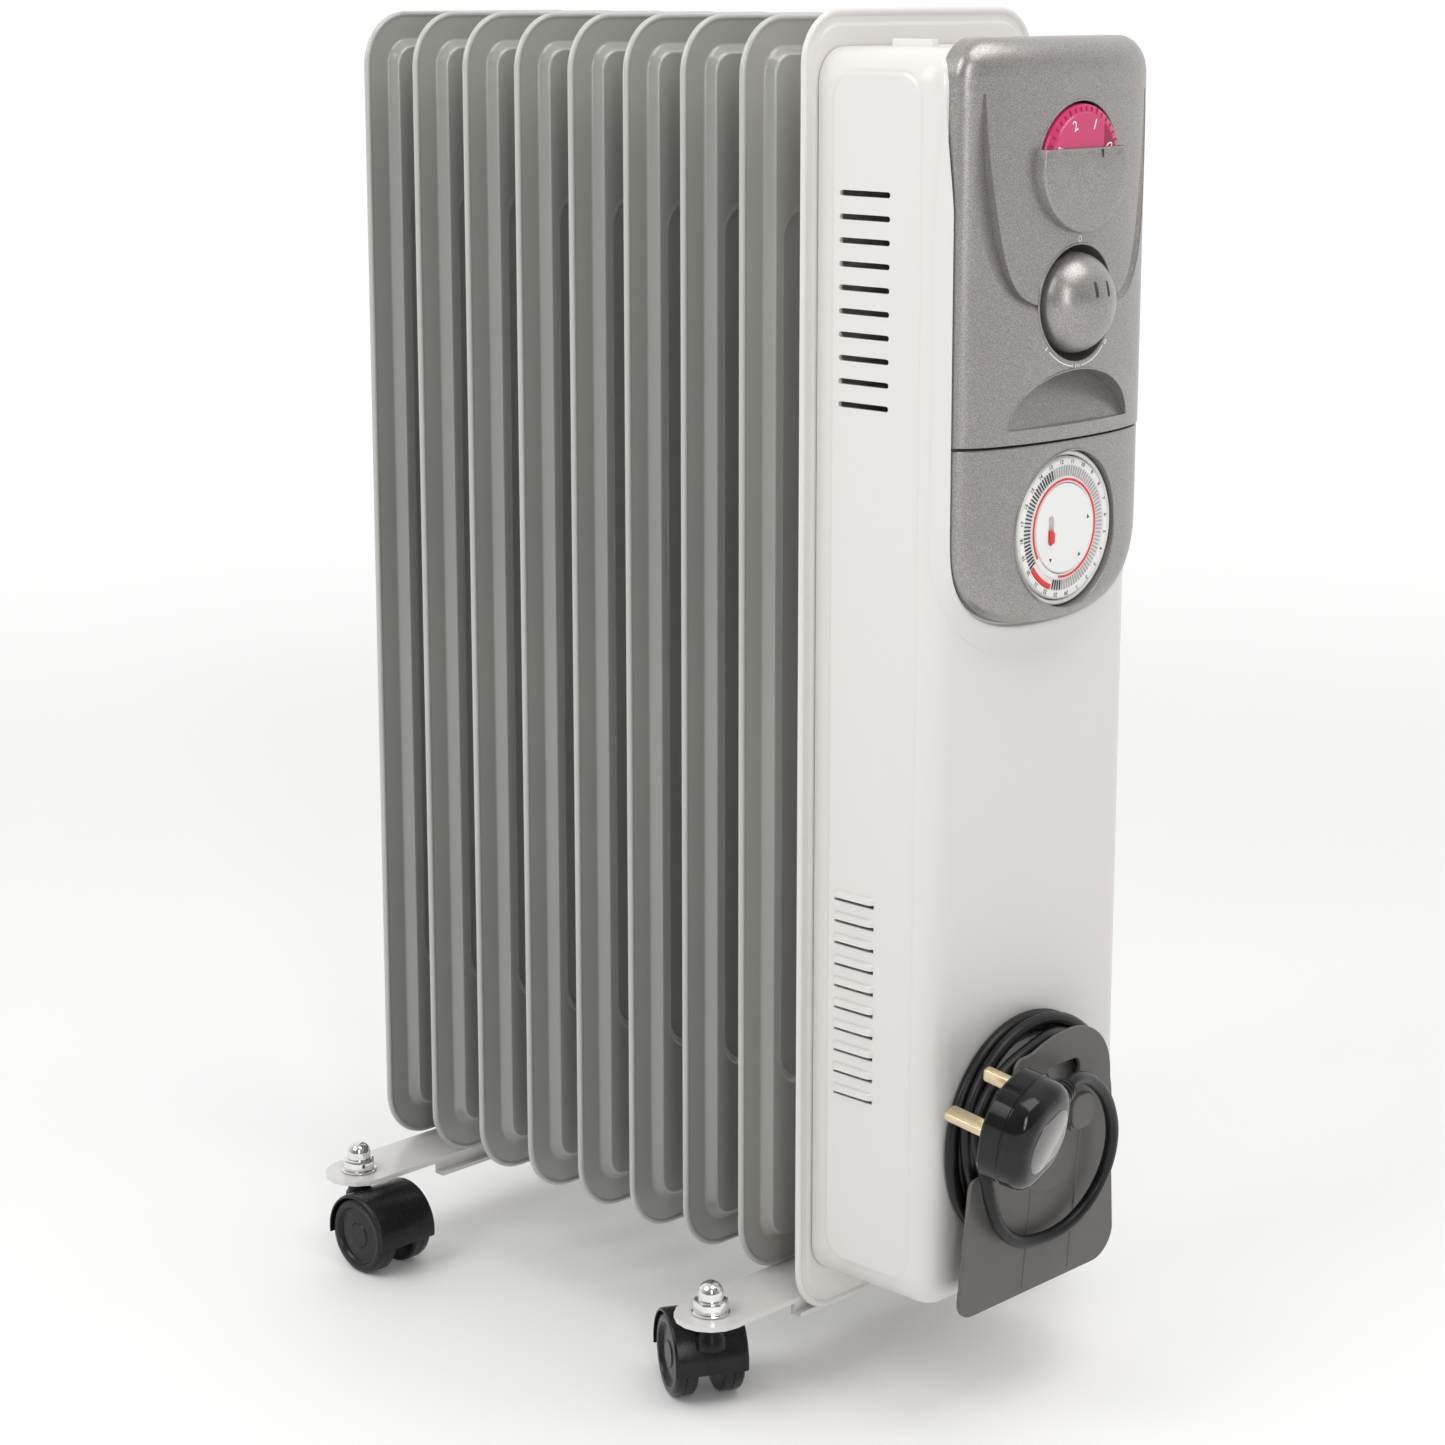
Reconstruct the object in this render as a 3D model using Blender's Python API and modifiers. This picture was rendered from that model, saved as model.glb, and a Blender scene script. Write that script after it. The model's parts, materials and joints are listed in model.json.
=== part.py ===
"""Oil filled radiator heater on twin-wheel casters: nine plates, a control box and its stored cord.

Metres, +Z up. The origin is on the floor under the middle of the heater. The controls face -Y, the fins
stack towards +Y and their width lies along X. Every named object is one piece of the real heater.
"""
import math

import bmesh
import bpy
from mathutils import Matrix, Vector

GAP = 0.0003                    # clearance that touching pieces keep

# fins
FIN_COUNT = 8
FIN_PITCH = 0.0375
FIN_WIDTH = 0.160
FIN_BOTTOM = 0.0475
FIN_TOP = 0.6475
FIN_CORNER = 0.027
FIN_ROLL = 0.0026               # width of the rolled edge
FIN_RIM = 0.0135                # edge to the foot of the pressed panel
FIN_SLOPE = 0.0045              # width of the panel's sloping side
FIN_EDGE_HALF = 0.0016          # half thickness of the rolled edge
FIN_RIM_HALF = 0.0009
FIN_PANEL_HALF = 0.0058         # half thickness over the oil passages
FIN_VALLEY_HALF = 0.0030        # half thickness in the pressed valleys
VALLEY_WIDTH = 0.036
VALLEY_OFFSET = 0.0405
VALLEY_BOTTOM = 0.138
VALLEY_TOP = 0.564
HEADER_INSET = 0.045            # header centre, from the fin's top or bottom edge
HEADER_RADIUS = 0.0185
HEADER_BORE = 0.0145
HEADER_LOW = FIN_BOTTOM + HEADER_INSET
HEADER_HIGH = FIN_TOP - HEADER_INSET
LAST_BORE_END = 0.0020          # the last fin's bore stops this far behind its middle
ELEMENT_RADIUS = 0.0030
ELEMENT_BEND = 0.0060           # half the distance between a hairpin's two legs
ELEMENT_SPREAD = 0.0048         # each element's distance from the header's middle

# front end plate, which the control box is fixed to
PLATE_Y = -0.0986
PLATE_BOTTOM = 0.0385
PLATE_TOP = 0.6505
PLATE_CORNER = 0.024

# control box
BOX_HALF = 0.071
BOX_DEPTH = 0.075
BOX_BOTTOM = 0.0590
BOX_TOP = 0.6340
BOX_EDGE = 0.0160               # radius of the box's upright corners seen from the front
BOX_CORNER = 0.0140             # radius of the edge round its front
BOX_WALL = 0.0012
BOX_BACK = PLATE_Y - FIN_EDGE_HALF - GAP
BOX_FRONT = PLATE_Y - BOX_DEPTH
VENT_COUNT = 10
VENT_PITCH = 0.0104
VENT_TOP = 0.5710
LOUVRE_TOP = 0.2500
VENT_NEAR = 0.0155              # slot ends, measured forward from the end plate
VENT_FAR = 0.0450
LOUVRE_FAR = 0.0395
VENT_HEIGHT = 0.0026
GRILLE_HALF = 0.0560
GRILLE_NEAR = 0.0080            # grille edges, measured forward from the end plate
GRILLE_FAR = 0.0550
GRILLE_BOTTOM = 0.6378
GRILLE_TOP = 0.6415

# control panel
PANEL_HALF = 0.0655
PANEL_RISE = 0.0180
PANEL_TOP = 0.6385
PANEL_BOTTOM = 0.3780
SEAM_Z = 0.4620
SEAM_WIDTH = 0.0010
PANEL_WALL = 0.0022
PANEL_ROUND = 0.0130            # radius of the panels' top and bottom edges
ARCH_STEPS = 20                 # facets across a panel's arched front
PANEL_CORNER = 0.018
PANEL_BACK = BOX_FRONT - GAP
PANEL_FRONT = BOX_FRONT - PANEL_RISE
LOWER_RISE = 0.0160             # rise of the timer panel's arch, a little less than the upper one's
LOWER_SHOULDER = 0.4240         # where the timer panel's sides start to draw in
THROUGH = 0.0100                # how far a cutter runs past the face it cuts

# controls
DIAL_Z = 0.5835
DIAL_RADIUS = 0.0264
WINDOW_RADIUS = 0.0280
BOSS_RADIUS = 0.0300
BOSS_RISE = 0.0042              # boss over the crown of the panel's arch
BOSS_WALL = 0.0016
CHORD_RISE = 0.0072             # the boss's straight upper edge, above the dial's centre
DIAL_FACE = PANEL_FRONT - BOSS_RISE + BOSS_WALL + 0.0004
KNOB_Z = 0.5227
KNOB_RADIUS = 0.0226
KNOB_POCKET = 0.0262
KNOB_DOME = 0.0185              # height of the domed cap
KNOB_RIM = 0.0128               # height of the straight rim below it
SHAFT_RADIUS = 0.0042
SHAFT_HOLE = 0.0052
TIMER_Z = 0.4210
TIMER_RECESS = 0.0360
TIMER_RING = 0.0325
TIMER_DISC = 0.0205
TIMER_BODY = 0.0330
TIMER_FACE = PANEL_FRONT + 0.0050
RING_THICK = 0.0052
SLIDER_X = -0.0100
SLIDER_WIDTH = 0.0034
SLIDER_HEIGHT = 0.0060
SLIDER_REST = -0.0062           # slider's lower end below the timer's middle; it moves up by its own height
SLOT_HALF = 0.0065
GRIP_HALF = 0.0420
GRIP_BOTTOM = 0.4690
GRIP_TOP = 0.4935
GRIP_DEPTH = 0.0140
GRIP_WALL = 0.0018

# cord store
STORE_X = -0.0080               # middle of the hub and the coil
STORE_Z = 0.1365
COIL_INNER = 0.0440
COIL_OUTER = 0.0570
COIL_DEPTH = 0.0125
HUB_RADIUS = 0.0250
HOLDER_X = -0.0100
HOLDER_BOTTOM = 0.0600
HOLDER_TOP = 0.1880
HOLDER_STANDOFF = 0.0140        # box front to the holder's front face, at its bottom edge
HOLDER_LEAN = 0.085             # how much further it stands off per metre of height
HOLDER_THICK = 0.0022
CORD_RADIUS = 0.0031

# plug
PLUG_CENTRE = Vector((-0.0640, PLATE_Y - 0.1109, 0.1630))
PIN_AXIS = Vector((-0.21, 0.945, 0.235)).normalized()
PLUG_LENGTH = 0.048
PLUG_WIDTH = 0.050
PLUG_THICK = 0.0235
PLUG_CORNER = 0.0150
RELIEF_LENGTH = 0.0150
RELIEF_HEIGHT = -0.0115         # cord's axis, from the pin face
EARTH_LEAN = Vector((-0.958, -0.156, -0.227))
EARTH_SIDE = (EARTH_LEAN - PIN_AXIS * EARTH_LEAN.dot(PIN_AXIS)).normalized()
PIN_SIDE = PIN_AXIS.cross(EARTH_SIDE)

# feet and casters
FOOT_TOP = 0.0470
FOOT_SHEET = 0.0025
FOOT_END_RADIUS = 0.0175
FOOT_RAIL_DEPTH = 0.0100
FOOT_RAIL_END = 0.0740
FOOT_RAIL_IN = 0.0125           # rail's web and flared lip, from the foot's middle
FOOT_WEB_OUT = 0.0149
FOOT_LIP_OUT = 0.0190
FRONT_FOOT_SHIFT = 0.0025       # front foot stands this much behind the header joint it hangs from
U_BOLT_RADIUS = 0.0024
U_BOLT_HALF = HEADER_RADIUS + U_BOLT_RADIUS + 0.0010
U_BOLT_END = 0.0330
CASTER_X = 0.1160
WHEEL_RADIUS = 0.0200
WHEEL_WIDTH = 0.0112
WHEEL_OFFSET = 0.0117
HOOD_RADIUS = 0.0222
HOOD_HALF = 0.0180
TRAIL = 0.0180
AXLE_RADIUS = 0.0032
STEM_RADIUS = 0.0040
# side, gap between plates (0 is behind the end plate) and yaw in degrees of each caster
CASTERS = {
    "front_left": (-1, 0, 150.0),
    "front_right": (1, 0, 172.0),
    "rear_left": (-1, FIN_COUNT - 1, 0.0),
    "rear_right": (1, FIN_COUNT - 1, -14.0),
}

for old in list(bpy.data.objects):
    bpy.data.objects.remove(old, do_unlink=True)


def collection(name):
    made = bpy.data.collections.new(name)
    bpy.context.scene.collection.children.link(made)
    return made


PARTS = collection("oil_filled_radiator")
CUTTERS = collection("cutters")


def material(name, colour, roughness, metallic=0.0):
    made = bpy.data.materials.new(name)
    made.use_nodes = True
    shader = made.node_tree.nodes["Principled BSDF"]
    shader.inputs["Base Color"].default_value = (*colour, 1.0)
    shader.inputs["Roughness"].default_value = roughness
    shader.inputs["Metallic"].default_value = metallic
    return made


FIN_PAINT = material("fin_grey_paint", (0.36, 0.36, 0.34), 0.28)
WHITE_PAINT = material("off_white_paint", (0.80, 0.79, 0.76), 0.30)
PANEL_PLASTIC = material("silver_grey_plastic", (0.30, 0.29, 0.28), 0.42, 0.25)
HOLDER_PLASTIC = material("dark_grey_plastic", (0.19, 0.18, 0.175), 0.45)
DIAL_PLASTIC = material("magenta_dial", (0.55, 0.06, 0.20), 0.30)
WHITE_PLASTIC = material("white_plastic", (0.85, 0.85, 0.84), 0.35)
RED_PLASTIC = material("red_plastic", (0.70, 0.04, 0.04), 0.35)
BLACK_PLASTIC = material("black_plastic", (0.012, 0.012, 0.013), 0.30)
BLACK_RUBBER = material("black_cord", (0.015, 0.015, 0.015), 0.48)
BRASS = material("pin_brass", (0.66, 0.52, 0.30), 0.30, 1.0)
CHROME = material("chrome", (0.80, 0.80, 0.80), 0.10, 1.0)
STEEL = material("zinc_steel", (0.55, 0.55, 0.55), 0.35, 1.0)
DARK_STEEL = material("heater_sheath", (0.30, 0.29, 0.28), 0.40, 1.0)
BAKELITE = material("brown_moulding", (0.10, 0.06, 0.04), 0.50)


def add_mesh(name, bm, paint=None, group=PARTS):
    mesh = bpy.data.meshes.new(name)
    bm.normal_update()
    bm.to_mesh(mesh)
    bm.free()
    mesh.update()
    made = bpy.data.objects.new(name, mesh)
    group.objects.link(made)
    if paint:
        mesh.materials.append(paint)
    if group is CUTTERS:
        made.hide_render = True
        made.display_type = "WIRE"
    mesh.shade_smooth()
    mesh.set_sharp_from_angle(angle=math.radians(32))
    return made


def loft(bm, rings, first_cap=True, last_cap=True):
    """Joins rings of equal point counts with quads. The rings run anticlockwise seen from the last one."""
    loops = [[bm.verts.new(point) for point in ring] for ring in rings]
    for low, high in zip(loops, loops[1:]):
        count = len(low)
        for i in range(count):
            j = (i + 1) % count
            bm.faces.new((low[i], low[j], high[j], high[i]))
    if first_cap:
        bm.faces.new(list(reversed(loops[0])))
    if last_cap:
        bm.faces.new(loops[-1])
    return loops


def arc(cx, cz, radius, start, end, steps):
    """Points on an arc, in degrees anticlockwise from +X."""
    out = []
    for i in range(steps + 1):
        turn = math.radians(start + (end - start) * i / steps)
        out.append((cx + radius * math.cos(turn), cz + radius * math.sin(turn)))
    return out


def rounded_rect(x0, x1, z0, z1, radius, steps=3):
    """Outline of a rectangle with round corners, anticlockwise."""
    out = []
    for cx, cz, start in (
        (x1 - radius, z0 + radius, -90),
        (x1 - radius, z1 - radius, 0),
        (x0 + radius, z1 - radius, 90),
        (x0 + radius, z0 + radius, 180),
    ):
        out += arc(cx, cz, radius, start, start + 90, steps)
    return out


def facing_front(outline, y):
    """An X-Z outline as a ring in the plane at y."""
    return [(x, y, z) for x, z in outline]


def slab(name, outline, front, back, paint=None, group=PARTS):
    """A flat piece with an X-Z outline, between two Y planes."""
    bm = bmesh.new()
    loft(bm, [facing_front(outline, back), facing_front(outline, front)])
    return add_mesh(name, bm, paint, group)


def block(name, low, high, paint=None, group=PARTS):
    bm = bmesh.new()
    size = [b - a for a, b in zip(low, high)]
    middle = [(a + b) / 2 for a, b in zip(low, high)]
    bmesh.ops.create_cube(bm, size=1.0, matrix=Matrix.Translation(middle) @ Matrix.Diagonal((*size, 1.0)))
    return add_mesh(name, bm, paint, group)


def rod(name, start, end, radius, paint=None, group=PARTS, sides=20, end_radius=None):
    """A cylinder or cone from one point to another."""
    start, end = Vector(start), Vector(end)
    bm = bmesh.new()
    turn = (end - start).to_track_quat("Z", "Y").to_matrix().to_4x4()
    bmesh.ops.create_cone(
        bm,
        cap_ends=True,
        segments=sides,
        radius1=radius,
        radius2=radius if end_radius is None else end_radius,
        depth=(end - start).length,
        matrix=Matrix.Translation((start + end) / 2) @ turn,
    )
    return add_mesh(name, bm, paint, group)


def turned(name, profile, origin, axis, paint, group=PARTS, sides=24):
    """A turned piece: profile is (radius, height) from its top centre, out and down to its bottom centre."""
    mesh = bpy.data.meshes.new(name)
    mesh.from_pydata([(r, 0.0, h) for r, h in profile], [(i, i + 1) for i in range(len(profile) - 1)], [])
    made = bpy.data.objects.new(name, mesh)
    group.objects.link(made)
    mesh.materials.append(paint)
    made.location = origin
    made.rotation_euler = Vector(axis).to_track_quat("Z", "Y").to_euler()
    screw = made.modifiers.new("Turn", "SCREW")
    screw.steps = sides
    screw.render_steps = sides
    screw.use_merge_vertices = True
    screw.merge_threshold = 0.00005
    screw.use_smooth_shade = True
    return made


def tube(name, points, radius, paint, cyclic=False, sides_level=2):
    """A round bar or wire through points close together."""
    curve = bpy.data.curves.new(name, "CURVE")
    curve.dimensions = "3D"
    curve.bevel_depth = radius
    curve.bevel_resolution = sides_level
    curve.use_fill_caps = not cyclic
    spline = curve.splines.new("POLY")
    spline.points.add(len(points) - 1)
    for slot, point in zip(spline.points, points):
        slot.co = (*point, 1.0)
    spline.use_cyclic_u = cyclic
    made = bpy.data.objects.new(name, curve)
    PARTS.objects.link(made)
    curve.materials.append(paint)
    return made


def boolean(target, tool, operation):
    """Joins or cuts target with tool, applied at once, and removes the tool."""
    step = target.modifiers.new(operation.title(), "BOOLEAN")
    step.operation = operation
    step.solver = "EXACT"
    step.object = tool
    bpy.context.view_layer.update()
    depsgraph = bpy.context.evaluated_depsgraph_get()
    mesh = bpy.data.meshes.new_from_object(target.evaluated_get(depsgraph))
    target.modifiers.clear()
    old = target.data
    target.data = mesh
    mesh.name = old.name
    bpy.data.meshes.remove(old)
    bpy.data.objects.remove(tool, do_unlink=True)
    mesh.shade_smooth()
    mesh.set_sharp_from_angle(angle=math.radians(32))
    return target


def cut(target, *tools):
    for tool in tools:
        boolean(target, tool, "DIFFERENCE")
    return target


def join(target, *tools):
    for tool in tools:
        boolean(target, tool, "UNION")
    return target


def smooth_path(points, spacing):
    """Points a fixed distance apart on a Catmull-Rom curve through the route's own points."""
    route = [Vector(p) for p in points]
    route = [2 * route[0] - route[1]] + route + [2 * route[-1] - route[-2]]
    fine = []
    for a, b, c, d in zip(route, route[1:], route[2:], route[3:]):
        for i in range(24):
            t = i / 24
            fine.append(
                0.5 * (2 * b + (c - a) * t + (2 * a - 5 * b + 4 * c - d) * t * t + (3 * b - a - 3 * c + d) * t ** 3)
            )
    fine.append(route[-2])
    length = sum((q - p).length for p, q in zip(fine, fine[1:]))
    count = max(2, round(length / spacing))
    out = [fine[0]]
    walked = 0.0
    for p, q in zip(fine, fine[1:]):
        step = (q - p).length
        while len(out) < count and walked + step >= length * len(out) / count:
            out.append(p.lerp(q, (length * len(out) / count - walked) / step))
        walked += step
    out.append(fine[-1])
    return out


def fin_y(index):
    """Middle plane of a fin, counted from the front."""
    return PLATE_Y + (index + 1) * FIN_PITCH


# ---------------------------------------------------------------- fins and end plate
def pressed_plate(name, y, bottom, top, corner, paint, flat_front=False):
    """Rolled edge, flat rim and raised panel. flat_front leaves the front plain for the control box."""
    raised = [(FIN_RIM + FIN_SLOPE, FIN_PANEL_HALF), (FIN_RIM, FIN_RIM_HALF), (FIN_ROLL, FIN_RIM_HALF)]
    edge = [(0.0, FIN_EDGE_HALF), (0.0, -FIN_EDGE_HALF)]
    front = [] if flat_front else [(inset, -height) for inset, height in reversed(raised)]
    half = FIN_WIDTH / 2
    bm = bmesh.new()
    rings = []
    for inset, height in raised + edge + front:
        radius = max(corner - inset, 0.004)
        outline = rounded_rect(-half + inset, half - inset, bottom + inset, top - inset, radius)
        rings.append(facing_front(outline, y + height))
    loft(bm, rings)
    return add_mesh(name, bm, paint)


def valley_cutter(side, face):
    """Cutter for one long round-ended valley in a fin's face; face is -1 at the front, 1 at the back."""
    centre = side * VALLEY_OFFSET
    half = VALLEY_WIDTH / 2
    outline = arc(centre, VALLEY_BOTTOM + half, half, 180, 360, 5) + arc(centre, VALLEY_TOP - half, half, 0, 180, 5)
    near, far = sorted((face * FIN_VALLEY_HALF, face * 2 * FIN_PANEL_HALF))
    return slab("valley_cutter", outline, near, far, group=CUTTERS)


def header_neck(z, face, y=0.0):
    """Drawn neck that meets the neck of the next fin half way."""
    reach = FIN_PITCH / 2 - GAP / 2
    return rod("neck", (0, y + face * FIN_VALLEY_HALF, z), (0, y + face * reach, z), HEADER_RADIUS, sides=12)


def build_fin(name, neck_faces, bore_end):
    """A fin about its own middle plane, with necks on the given faces and the bottom header's bore."""
    fin = pressed_plate(name, 0.0, FIN_BOTTOM, FIN_TOP, FIN_CORNER, FIN_PAINT)
    for face in (-1, 1):
        for side in (-1, 1):
            cut(fin, valley_cutter(side, face))
    for face in neck_faces:
        for z in (HEADER_LOW, HEADER_HIGH):
            join(fin, header_neck(z, face))
    bore = rod(
        "bore", (0, -FIN_PITCH, HEADER_LOW), (0, bore_end, HEADER_LOW), HEADER_BORE, group=CUTTERS, sides=12
    )
    return cut(fin, bore)


def build_fins():
    first = build_fin("fin_1", (-1, 1), FIN_PITCH)
    first.location.y = fin_y(0)
    for index in range(1, FIN_COUNT - 1):
        fin = bpy.data.objects.new("fin_%d" % (index + 1), first.data)
        PARTS.objects.link(fin)
        fin.location.y = fin_y(index)
    last = build_fin("fin_%d" % FIN_COUNT, (-1,), LAST_BORE_END)
    last.location.y = fin_y(FIN_COUNT - 1)


def build_end_plate():
    plate = pressed_plate(
        "end_plate", PLATE_Y, PLATE_BOTTOM, PLATE_TOP, PLATE_CORNER, WHITE_PAINT, flat_front=True
    )
    for z in (HEADER_LOW, HEADER_HIGH):
        join(plate, header_neck(z, 1, PLATE_Y))
    bore = rod(
        "bore",
        (0, PLATE_Y - FIN_PITCH, HEADER_LOW),
        (0, PLATE_Y + FIN_PITCH, HEADER_LOW),
        HEADER_BORE,
        group=CUTTERS,
        sides=12,
    )
    cut(plate, bore)


def build_elements():
    """Two hairpin heating elements in the bottom header, and the threaded plug that carries them."""
    near = PLATE_Y + FIN_EDGE_HALF
    for name, length, side in (("heating_element_small", 0.200, -1), ("heating_element_large", 0.270, 1)):
        x = side * ELEMENT_SPREAD
        bend = arc(near + length, HEADER_LOW, ELEMENT_BEND, -90, 90, 6)
        legs = [(x, near, HEADER_LOW - ELEMENT_BEND), (x, near, HEADER_LOW + ELEMENT_BEND)]
        points = legs[:1] + [(x, y, z) for y, z in bend] + legs[1:]
        tube(name, points, ELEMENT_RADIUS, DARK_STEEL, sides_level=1)
    turned(
        "element_plug",
        [(0, 0.0140), (0.0040, 0.0140), (0.0040, 0.0090), (0.0195, 0.0090), (0.0195, 0.0), (0, 0.0)],
        (0, BOX_BACK, HEADER_LOW),
        (0, -1, 0),
        STEEL,
        sides=6,
    )


# ---------------------------------------------------------------- control box
def slot_outline(y0, y1, z, height):
    """A vent slot's Y-Z outline with chamfered ends."""
    half = height / 2
    return [
        (y0 + half, z - half),
        (y1 - half, z - half),
        (y1, z),
        (y1 - half, z + half),
        (y0 + half, z + half),
        (y0, z),
    ]


def vent_cutter(y_far, top):
    """One comb of slots through both side walls, ten bars in one mesh."""
    bm = bmesh.new()
    for index in range(VENT_COUNT):
        z = top - index * VENT_PITCH
        outline = slot_outline(PLATE_Y - y_far, PLATE_Y - VENT_NEAR, z, VENT_HEIGHT)
        loft(bm, [[(x, y, z) for y, z in outline] for x in (-BOX_HALF - THROUGH, BOX_HALF + THROUGH)])
    bmesh.ops.recalc_face_normals(bm, faces=bm.faces)
    return add_mesh("vent_cutter", bm, group=CUTTERS)


def round_cutter(z, y, radius):
    """Cutter for a round hole along Y through the face at y."""
    return rod("hole", (0, y - THROUGH, z), (0, y + THROUGH, z), radius, group=CUTTERS, sides=28)


def box_ring(inset, y):
    radius = max(BOX_EDGE - inset, 0.003)
    outline = rounded_rect(-BOX_HALF + inset, BOX_HALF - inset, BOX_BOTTOM + inset, BOX_TOP - inset, radius)
    return facing_front(outline, y)


def build_box():
    bm = bmesh.new()
    rings = [box_ring(0.0, BOX_BACK)]
    for turn in (0, 30, 60, 90):
        angle = math.radians(turn)
        inset = BOX_CORNER * (1 - math.cos(angle))
        rings.append(box_ring(inset, BOX_FRONT + BOX_CORNER * (1 - math.sin(angle))))
    loft(bm, rings, first_cap=False)
    box = add_mesh("control_box", bm, WHITE_PAINT)
    wall = box.modifiers.new("Sheet", "SOLIDIFY")
    wall.thickness = BOX_WALL
    wall.offset = -1.0
    cut(box, vent_cutter(VENT_FAR, VENT_TOP), vent_cutter(LOUVRE_FAR, LOUVRE_TOP))
    for z, radius in ((DIAL_Z, SHAFT_HOLE), (KNOB_Z, SHAFT_HOLE), (TIMER_Z, TIMER_BODY + 2 * GAP)):
        cut(box, round_cutter(z, BOX_FRONT, radius))


def build_top_grille():
    """White textured plate that stands on two ribs over the box's top."""
    y0, y1 = PLATE_Y - GRILLE_FAR, PLATE_Y - GRILLE_NEAR
    bm = bmesh.new()
    outline = rounded_rect(-GRILLE_HALF, GRILLE_HALF, y0, y1, 0.006)
    loft(bm, [[(x, y, z) for x, y in outline] for z in (GRILLE_BOTTOM, GRILLE_TOP)])
    grille = add_mesh("top_grille", bm, WHITE_PLASTIC)
    for x in (-0.045, 0.045):
        low = (x - 0.002, y0 + 0.006, BOX_TOP + GAP)
        high = (x + 0.002, y1 - 0.006, (GRILLE_BOTTOM + GRILLE_TOP) / 2)
        join(grille, block("rib", low, high))


# ---------------------------------------------------------------- control panel
def corner_drop(over, radius):
    """How far a round edge has fallen away at a distance past where it starts."""
    return 0.0 if over <= 0.0 else radius - math.sqrt(max(radius * radius - over * over, 0.0))


def upper_levels(inset):
    """Half width, rise and height of the upper panel's arch, from the seam to its top."""
    top = PANEL_TOP - inset
    heights = [SEAM_Z + SEAM_WIDTH / 2 + inset]
    heights += [top - PANEL_CORNER * (1 - math.sin(math.radians(turn))) for turn in (0, 18, 36, 54, 72, 90)]
    levels = []
    for z in heights:
        half = PANEL_HALF - inset - corner_drop(z - top + PANEL_CORNER, PANEL_CORNER)
        levels.append((half, PANEL_RISE - inset - corner_drop(z - top + PANEL_ROUND, PANEL_ROUND), z))
    return levels


def lower_levels(inset):
    """The same for the timer panel, from its wide round bottom to the seam."""
    drop = LOWER_SHOULDER - PANEL_BOTTOM - inset
    levels = []
    for turn in (82, 70, 58, 46, 34, 20, 0):
        c, s = math.cos(math.radians(turn)), math.sin(math.radians(turn))
        z = LOWER_SHOULDER - drop * s ** 0.75
        over = PANEL_BOTTOM + inset + PANEL_ROUND - z
        levels.append(((PANEL_HALF - inset) * c ** 0.75, LOWER_RISE - inset - corner_drop(over, PANEL_ROUND), z))
    return levels + [(PANEL_HALF - inset, LOWER_RISE - inset, SEAM_Z - SEAM_WIDTH / 2 - inset)]


def arch(name, levels, tail=0.0, group=PARTS):
    """A solid with an elliptical front and a flat back; tail carries the back past the panel's own."""
    rings = []
    for half, rise, z in levels:
        turns = [math.pi * k / ARCH_STEPS for k in range(ARCH_STEPS + 1)]
        ring = [(-half * math.cos(turn), PANEL_BACK - rise * math.sin(turn), z) for turn in turns]
        if tail:
            ring = [(-half, PANEL_BACK + tail, z)] + ring + [(half, PANEL_BACK + tail, z)]
        rings.append(ring)
    bm = bmesh.new()
    loft(bm, rings)
    return add_mesh(name, bm, PANEL_PLASTIC, group)


def panel_shell(name, levels):
    """A moulded cover of even wall, open at the back."""
    return cut(arch(name, levels(0.0)), arch("hollow", levels(PANEL_WALL), tail=THROUGH, group=CUTTERS))


def boss_outline():
    """Part of a circle below the boss's straight edge."""
    turn = math.degrees(math.asin(CHORD_RISE / BOSS_RADIUS))
    return arc(0, DIAL_Z, BOSS_RADIUS, 180 - turn, 360 + turn, 16)


def build_upper_panel():
    panel = panel_shell("upper_panel", upper_levels)
    cut(panel, round_cutter(DIAL_Z, PANEL_FRONT, WINDOW_RADIUS), round_cutter(KNOB_Z, PANEL_FRONT, KNOB_POCKET))
    boss = slab("boss", boss_outline(), PANEL_FRONT - BOSS_RISE, PANEL_FRONT + 0.0035)
    start, end = (0, PANEL_FRONT - BOSS_RISE + BOSS_WALL, DIAL_Z), (0, PANEL_FRONT + THROUGH, DIAL_Z)
    join(panel, cut(boss, rod("under", start, end, WINDOW_RADIUS + GAP, group=CUTTERS, sides=30)))
    rise = GRIP_TOP - GRIP_BOTTOM
    wall = GRIP_WALL
    curve = arc(0, 0, 1.0, 0, 180, 10)
    grip = [(x * GRIP_HALF, GRIP_BOTTOM + z * rise) for x, z in curve]
    cup = [(x * (GRIP_HALF + wall), GRIP_BOTTOM - wall + z * (rise + 2 * wall)) for x, z in curve]
    back = slab("cup", cup, PANEL_FRONT - THROUGH, PANEL_FRONT + GRIP_DEPTH + wall)
    join(panel, boolean(back, arch("within", upper_levels(0.5 * PANEL_WALL)), "INTERSECT"))
    cut(panel, slab("grip", grip, PANEL_FRONT - THROUGH, PANEL_FRONT + GRIP_DEPTH, group=CUTTERS))


def build_lower_panel():
    panel = panel_shell("timer_panel", lower_levels)
    cut(panel, round_cutter(TIMER_Z, PANEL_FRONT, TIMER_RECESS))


def control(name, z, profile, face, paint, sides=28):
    """A turned control whose profile heights are measured outwards from face."""
    return turned(name, profile, (0, face, z), (0, -1, 0), paint, sides=sides)


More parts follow.
